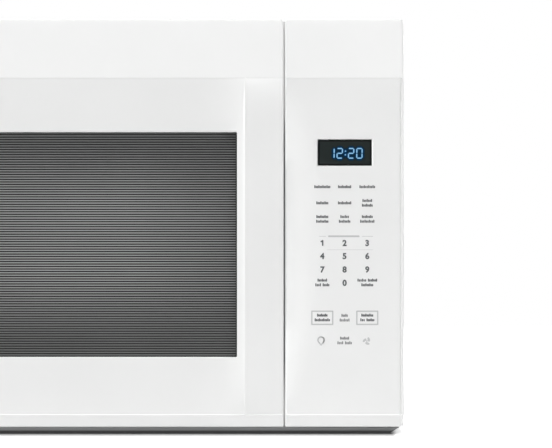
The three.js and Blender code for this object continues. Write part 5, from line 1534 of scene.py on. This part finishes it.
def woven(x_lines, y_lines, reach, level):
    """Two sets of crossing wires. Each rises and falls by a cosine, over and under the others."""
    x0, x1, y0, y1 = reach

    def lift(places, start, count):
        along_wire = (places[None] - start) / WIRE_PITCH
        return WIRE_LIFT * np.cos(np.pi * along_wire + np.pi * np.arange(count)[:, None])

    across = np.linspace(x0, x1, 2 * len(x_lines) + 1)
    along = np.linspace(y0, y1, 2 * len(y_lines) + 1)
    level_wires = (across[None], y_lines[:, None], level + lift(across, x_lines[0], len(y_lines)))
    cross_wires = (x_lines[:, None], along[None], level - lift(along, y_lines[0], len(x_lines)))
    return join_pieces("wires", [
        tubes("wires", np.stack(np.broadcast_arrays(*wires), -1), WIRE, ALUMINIUM, 4)
        for wires in (level_wires, cross_wires)
    ])


def pull_ring(x, y, seat, low):
    """A flat pull loop of wire with its feet on the frame's stay: a half circle drawn out by a low power."""
    turn = np.pi * np.linspace(0, 1, 25)
    drop = (seat - low - 0.2) * np.sin(turn) ** 0.4
    path = np.stack([x + PULL_RADIUS * np.cos(turn), np.full(25, y), seat + 1.0 - drop], 1)
    return tubes("ring", path[None], PULL_WIRE, ALUMINIUM, 8)


for side in ("left", "right"):
    make_filter(side)

# ---------------------------------------------------------------- fans

fan_low, fan_high = corners("cooling_fan_blade")
wheels_low, wheels_high = corners("blower_wheels")
FAN_RADIUS = 53.0
FAN_ROOT = 8.5  # where a paddle starts, inside the hub
FAN_HUB = 11.0
FAN_BORE = 2.8
FAN_BLADES = 5
FAN_PITCH = 28.0
HUB_HALF = 9  # half the hub's length
PADDLE_WIDTHS = (6, 20)  # half the chord at the root and at the tip
PADDLE_CAMBER = 1.6
PADDLE_HALF = 0.75  # half the thickness
BLOWER_BLADES = 44
BLADE_DEPTH = 8.0
BLADE_INSET = 0.5  # its inner edge inside the end ring's
BLADE_HALF = 0.4  # half the thickness
WHEEL_LENGTH = 62.0
WHEEL_SPACING = 162.0
SHAFT_RADIUS = 3.9
SHAFT_INSET = 24


def make_cooling_fan():
    """The cooling fan: a domed hub and paddles whose pitch eases towards the tip, with a slight camber.

    A paddle is a grid of radius and chord. Its chord widens with the sine of the way out, and its points turn
    about the radius by the pitch; half the thickness to either side closes it.
    """
    middle = (fan_low + fan_high) / 2
    u, v = np.meshgrid(np.linspace(0, 1, 25), np.linspace(-1, 1, 17), indexing="ij")
    reach = FAN_ROOT + (FAN_RADIUS - FAN_ROOT) * u * (1 - 0.06 * np.abs(v) ** 3)
    root, tip = PADDLE_WIDTHS
    half = root + (tip - root) * np.sin(np.minimum(u, 0.9) / 0.9 * np.pi / 2)
    chord = v * half + 2.0 * u
    pitch = np.radians(FAN_PITCH * (1.12 - 0.24 * u))
    camber = PADDLE_CAMBER * (1 - v**2) * u
    pieces = []
    for turn in range(FAN_BLADES):
        angle = 2 * np.pi * turn / FAN_BLADES
        sides = []
        for offset in (-PADDLE_HALF, PADDLE_HALF):
            sideways = chord * np.cos(pitch) - (camber + offset) * np.sin(pitch)
            axial = chord * np.sin(pitch) + (camber + offset) * np.cos(pitch)
            x = reach * np.cos(angle) - sideways * np.sin(angle)
            z = reach * np.sin(angle) + sideways * np.cos(angle)
            sides.append(np.stack([middle[0] + x, middle[1] - axial, middle[2] + z], -1).reshape(-1, 3))
        pieces.append(closed_sheet("paddle", sides, u.shape, FINISHES["black_plastic"]))
    profile = [(FAN_BORE, -HUB_HALF), (FAN_HUB, -HUB_HALF), (FAN_HUB, HUB_HALF - 3), (FAN_HUB - 3, HUB_HALF),
               (FAN_BORE, HUB_HALF)]
    hub = revolve("hub", filleted(profile, 1.0, 4, closed=True), middle, FINISHES["black_plastic"], axis="y",
                  segments=48, closed=True)
    made = join_pieces("cooling_fan", [hub, *pieces])
    finish_piece(made, "cooling_fan", "black_plastic", "cooling_fan_blade")


def closed_sheet(name, sides, shape, finish):
    """A thin closed solid from two matching grids of points, its rim stitched all round."""
    rows, columns = shape
    count = rows * columns
    faces = grid_faces(rows, columns) + grid_faces(rows, columns, start=count, flip=True)
    index = np.arange(count).reshape(shape)
    rim = np.concatenate([index[0, :-1], index[:-1, -1], index[-1, :0:-1], index[:0:-1, 0]])
    after = np.roll(rim, -1)
    faces += np.stack([after, rim, rim + count, after + count], 1).tolist()
    return face_outwards(make_object(name, np.vstack(sides), faces, finish, 50.0))


def make_blower_wheels():
    """Two squirrel-cage wheels on a shaft: each a webbed disc, an end ring and forward-curved blades.

    A blade's section is an arc between the inner and the outer radius whose angle grows with the square of
    the distance out, carried straight along the shaft.
    """
    centre = (wheels_low + wheels_high) / 2
    radius = (wheels_high[2] - wheels_low[2]) / 2
    finish = FINISHES["grey_plastic"]
    pieces = []
    axis = (0, centre[1], centre[2])
    inner = radius - BLADE_DEPTH
    t = np.linspace(0, 1, 7)
    reach = inner - BLADE_INSET + BLADE_DEPTH * t
    lead = np.radians(3.0 * t + 9.0 * t**2)
    for side in (-1, 1):
        middle = centre[0] + side * WHEEL_SPACING / 2
        disc, rim = middle - side * WHEEL_LENGTH / 2, middle + side * WHEEL_LENGTH / 2
        for turn in range(BLOWER_BLADES):
            angle = 2 * np.pi * turn / BLOWER_BLADES + lead
            grids = []
            for offset in (-BLADE_HALF, BLADE_HALF):
                place = angle + offset / reach
                y, z = centre[1] + reach * np.cos(place), centre[2] + reach * np.sin(place)
                ends = [np.stack([np.full(7, x), y, z], -1) for x in (disc + side, rim - side)]
                grids.append(np.stack(ends).reshape(-1, 3))
            pieces.append(closed_sheet("blade", grids, (2, 7), finish))
        end = [(inner, rim - side * 3), (radius, rim - side * 3), (radius, rim), (inner, rim)]
        boss = disc + side * 14
        web = [(4.0, boss), (10, boss), (12, disc + side * 3), (20, disc + side * 2.2),
               (radius, disc + side * 2.0), (radius, disc), (4.0, disc)]
        for profile in (end, web):
            ordered = filleted(profile if side < 0 else profile[::-1], 0.4, 3, closed=True)
            pieces.append(revolve("ring", ordered, axis, finish, axis="x", segments=88, closed=True))
    start, end = wheels_low[0] + SHAFT_INSET, wheels_high[0] - SHAFT_INSET
    shaft = [(0, start), (SHAFT_RADIUS, start), (SHAFT_RADIUS, end), (0, end)]
    pieces.append(revolve("shaft", filleted(shaft, 0.6, 3), axis, finish, axis="x", segments=32))
    made = join_pieces("blower_cages", pieces)
    smooth(face_outwards(made), 45)
    finish_piece(made, "blower_rotor", "grey_plastic", "blower_wheels")


make_cooling_fan()
make_blower_wheels()

# ---------------------------------------------------------------- parts that keep their shape

EDGE_WIDTHS = {
    "outer_wrap": 0.5, "rear_panel": 0.35, "front_plate": 0.35, "base_pan": 0.4, "vent_grille": 0.45,
    "charcoal_filter": 1.2, "cavity_liner": 0.35, "door_choke": 0.3, "door_back_cover": 0.5,
    "door_inner_panel": 0.4, "door_latch": 0.5, "door_screen": 0.2, "waveguide_cover": 0.25,
}
COMMON_EDGE = 0.4
for name in frame["nodes"]:
    if name not in stood_for:
        soften(name, EDGE_WIDTHS.get(name, COMMON_EDGE))

# ---------------------------------------------------------------- stage, light and camera

PIXEL = 1.045  # millimetres for one pixel of the photograph
PICTURE = (552, 448)
AXIS_PIXEL = (276.0, 224.0)
ORIGIN_PIXEL = (40.85, 433.7)  # where x = 0 and z = 0 lie in the photograph
CAMERA_DISTANCE = 4.0


def make_camera():
    """A level camera square to the front, with a long lens, framed as the photograph is."""
    data = bpy.data.cameras.new("camera")
    made = new_object("camera", data)
    x = (AXIS_PIXEL[0] - ORIGIN_PIXEL[0]) * PIXEL * MM
    z = (ORIGIN_PIXEL[1] - AXIS_PIXEL[1]) * PIXEL * MM
    made.location = (x, FACE_Y * MM - CAMERA_DISTANCE, z)
    made.rotation_euler = (math.radians(90), 0, 0)
    data.sensor_width = 36.0
    data.lens = data.sensor_width * CAMERA_DISTANCE / (PICTURE[0] * PIXEL * MM)
    data.clip_end = 50.0
    bpy.context.scene.camera = made


CLEAR_WHITE = (1, 1, 1, 1)
AMBIENT = 0.22
FRONT = (0.25, -0.1, 0.22)
MIDDLE = (0.0, 0.0, 0.2)
LAMPS = (  # name, place, what it faces, size, watts, whether the door's moulding throws no shadow from it
    ("top lamp", (0.25, -0.8, 2.75), FRONT, 1.5, 51.0, False),
    ("left side lamp", (-3.0, -1.6, 0.4), FRONT, 1.5, 63.0, True),
    ("left front lamp", (-2.4, -3.2, 0.4), FRONT, 1.5, 5.0, True),
    ("right side lamp", (3.4, -1.6, 0.4), FRONT, 1.5, 18.0, False),
    ("right fill lamp", (1.0, -0.8, 0.08), (0.33, -0.2, 0.12), 0.6, 1.4, False),
    ("rear lamp", (1.6, 3.0, 1.2), MIDDLE, 2.0, 36.0, False),
    ("left rear lamp", (-3.0, 2.0, 1.0), MIDDLE, 1.6, 7.0, False),
)
BLOCKERS = bpy.data.collections.new("side lamp blockers")


def area_light(name, place, target, size, power, through_door):
    """A soft square lamp that faces a point. One from the left lets the door's moulding throw no shadow.

    The light box round the real object washes that shadow out of the finger scoop.
    """
    data = bpy.data.lights.new(name, "AREA")
    data.energy, data.size = power, size
    made = new_object(name, data)
    made.location = place
    made.rotation_euler = (Vector(target) - Vector(place)).to_track_quat("-Z", "Y").to_euler()
    made.visible_camera = False
    if through_door:
        made.light_linking.blocker_collection = BLOCKERS


def mix_shaders(tree, output, *sources):
    """A Mix Shader of a factor and two shaders, joined to the surface of an output node."""
    mix = tree.nodes.new("ShaderNodeMixShader")
    for source, socket in zip(sources, mix.inputs):
        tree.links.new(source, socket)
    tree.links.new(mix.outputs[0], tree.nodes[output].inputs["Surface"])


def make_world():
    """White all round: for the camera, in gloss and through glass it is plain white, and it lights softly."""
    world = bpy.data.worlds.new("studio")
    bpy.context.scene.world = world
    world.use_nodes = True
    tree = world.node_tree
    path = node(tree, "ShaderNodeLightPath").outputs
    rays = maths(tree, "MAXIMUM", path["Is Camera Ray"], path["Is Transmission Ray"])
    rays = maths(tree, "MAXIMUM", rays, path["Is Glossy Ray"])
    tree.nodes.remove(tree.nodes["Background"])
    ambient = node(tree, "ShaderNodeBackground", Color=CLEAR_WHITE, Strength=AMBIENT)
    seen = node(tree, "ShaderNodeBackground", Color=CLEAR_WHITE, Strength=1.0)
    mix_shaders(tree, "World Output", rays, ambient.outputs[0], seen.outputs[0])


FLOOR_REACH = 4.0  # metres
FLOOR_LEVEL = -0.0004
# colour of the floor in its painted shadow at the base
PAINTED_SHADOW_FLOOR = (0.02, 0.02, 0.02)
PALE_FLOOR = (0.9, 0.9, 0.9)
SHADE_REACH = (0.008, 0.09)  # metres to the side and in front over which the floor's painted shadow at the base fades
SHADE_CURVE = 1.2
SHADE_LIGHTEST = 0.02  # share of the pale floor left in the painted shadow
WHITE_GROWTH = (0.7, 1.6, 0.5, 1.0)  # metres from the middle where it starts and ends, and the white there
FLOOR_BOUNCE = 0.04


def make_floor():
    """A pale floor that shows plain white away from the object, with a painted shadow where the object rests.

    The painted shadow follows the distance from the rectangle of the base's foot: what lies outside it.
    The floor's own white grows with the distance from the middle, as the lamps' light on it falls off.
    """
    foot = np.array([v.co[:2] for v in frame["nodes"]["base_pan"].data.vertices if v.co.z < MM])
    mesh = bpy.data.meshes.new("floor")
    signs = ((-1, -1), (1, -1), (1, 1), (-1, 1))
    mesh.from_pydata([(x * FLOOR_REACH, y * FLOOR_REACH, FLOOR_LEVEL) for x, y in signs], [], [[0, 1, 2, 3]])
    floor = Finish("floor", PAINTED_SHADOW_FLOOR, 0.9)
    floor.set(Emission_Color=CLEAR_WHITE)
    tree = floor.tree
    path = node(tree, "ShaderNodeLightPath").outputs
    rays = maths(tree, "MAXIMUM", path["Is Camera Ray"], path["Is Glossy Ray"])
    place = axes(tree)
    outside = []
    for axis, low, high, reach in zip("XY", foot.min(0), foot.max(0), SHADE_REACH):
        off = maths(tree, "ABSOLUTE", maths(tree, "SUBTRACT", place[axis], (low + high) / 2))
        off = maths(tree, "MAXIMUM", maths(tree, "SUBTRACT", off, (high - low) / 2), 0.0)
        off = maths(tree, "DIVIDE", off, reach)
        outside.append(maths(tree, "MULTIPLY", off, off))
    # painted shadow: near the base's foot the floor's colour and its white fade to dark, for the camera only
    clear = between(tree, maths(tree, "SQRT", maths(tree, "ADD", *outside)), 0.0, 1.0, SHADE_LIGHTEST)
    clear = maths(tree, "POWER", clear, SHADE_CURVE)
    clear = maths(tree, "MAXIMUM", clear, maths(tree, "SUBTRACT", 1.0, path["Is Camera Ray"]))
    floor.tint(clear, PALE_FLOOR)
    bounce = maths(tree, "MULTIPLY", path["Is Diffuse Ray"], FLOOR_BOUNCE)
    away = node(tree, "ShaderNodeVectorMath", operation="LENGTH")
    tree.links.new(placed(tree), away.inputs[0])
    white = maths(tree, "MULTIPLY", clear, between(tree, away.outputs["Value"], *WHITE_GROWTH))
    tree.links.new(maths(tree, "MULTIPLY_ADD", rays, white, bounce), floor.shader.inputs["Emission Strength"])
    behind = node(tree, "ShaderNodeNewGeometry").outputs["Backfacing"]
    through = node(tree, "ShaderNodeBsdfTransparent")
    mix_shaders(tree, "Material Output", behind, floor.shader.outputs[0], through.outputs[0])
    mesh.materials.append(floor.material)
    new_object("floor", mesh)


make_camera()
make_world()
make_floor()
for piece in bpy.context.scene.objects:
    if piece.type == "MESH" and piece is not door_shell:
        BLOCKERS.objects.link(piece)
for lamp in LAMPS:
    area_light(*lamp)

bpy.context.scene.view_settings.view_transform = "Standard"
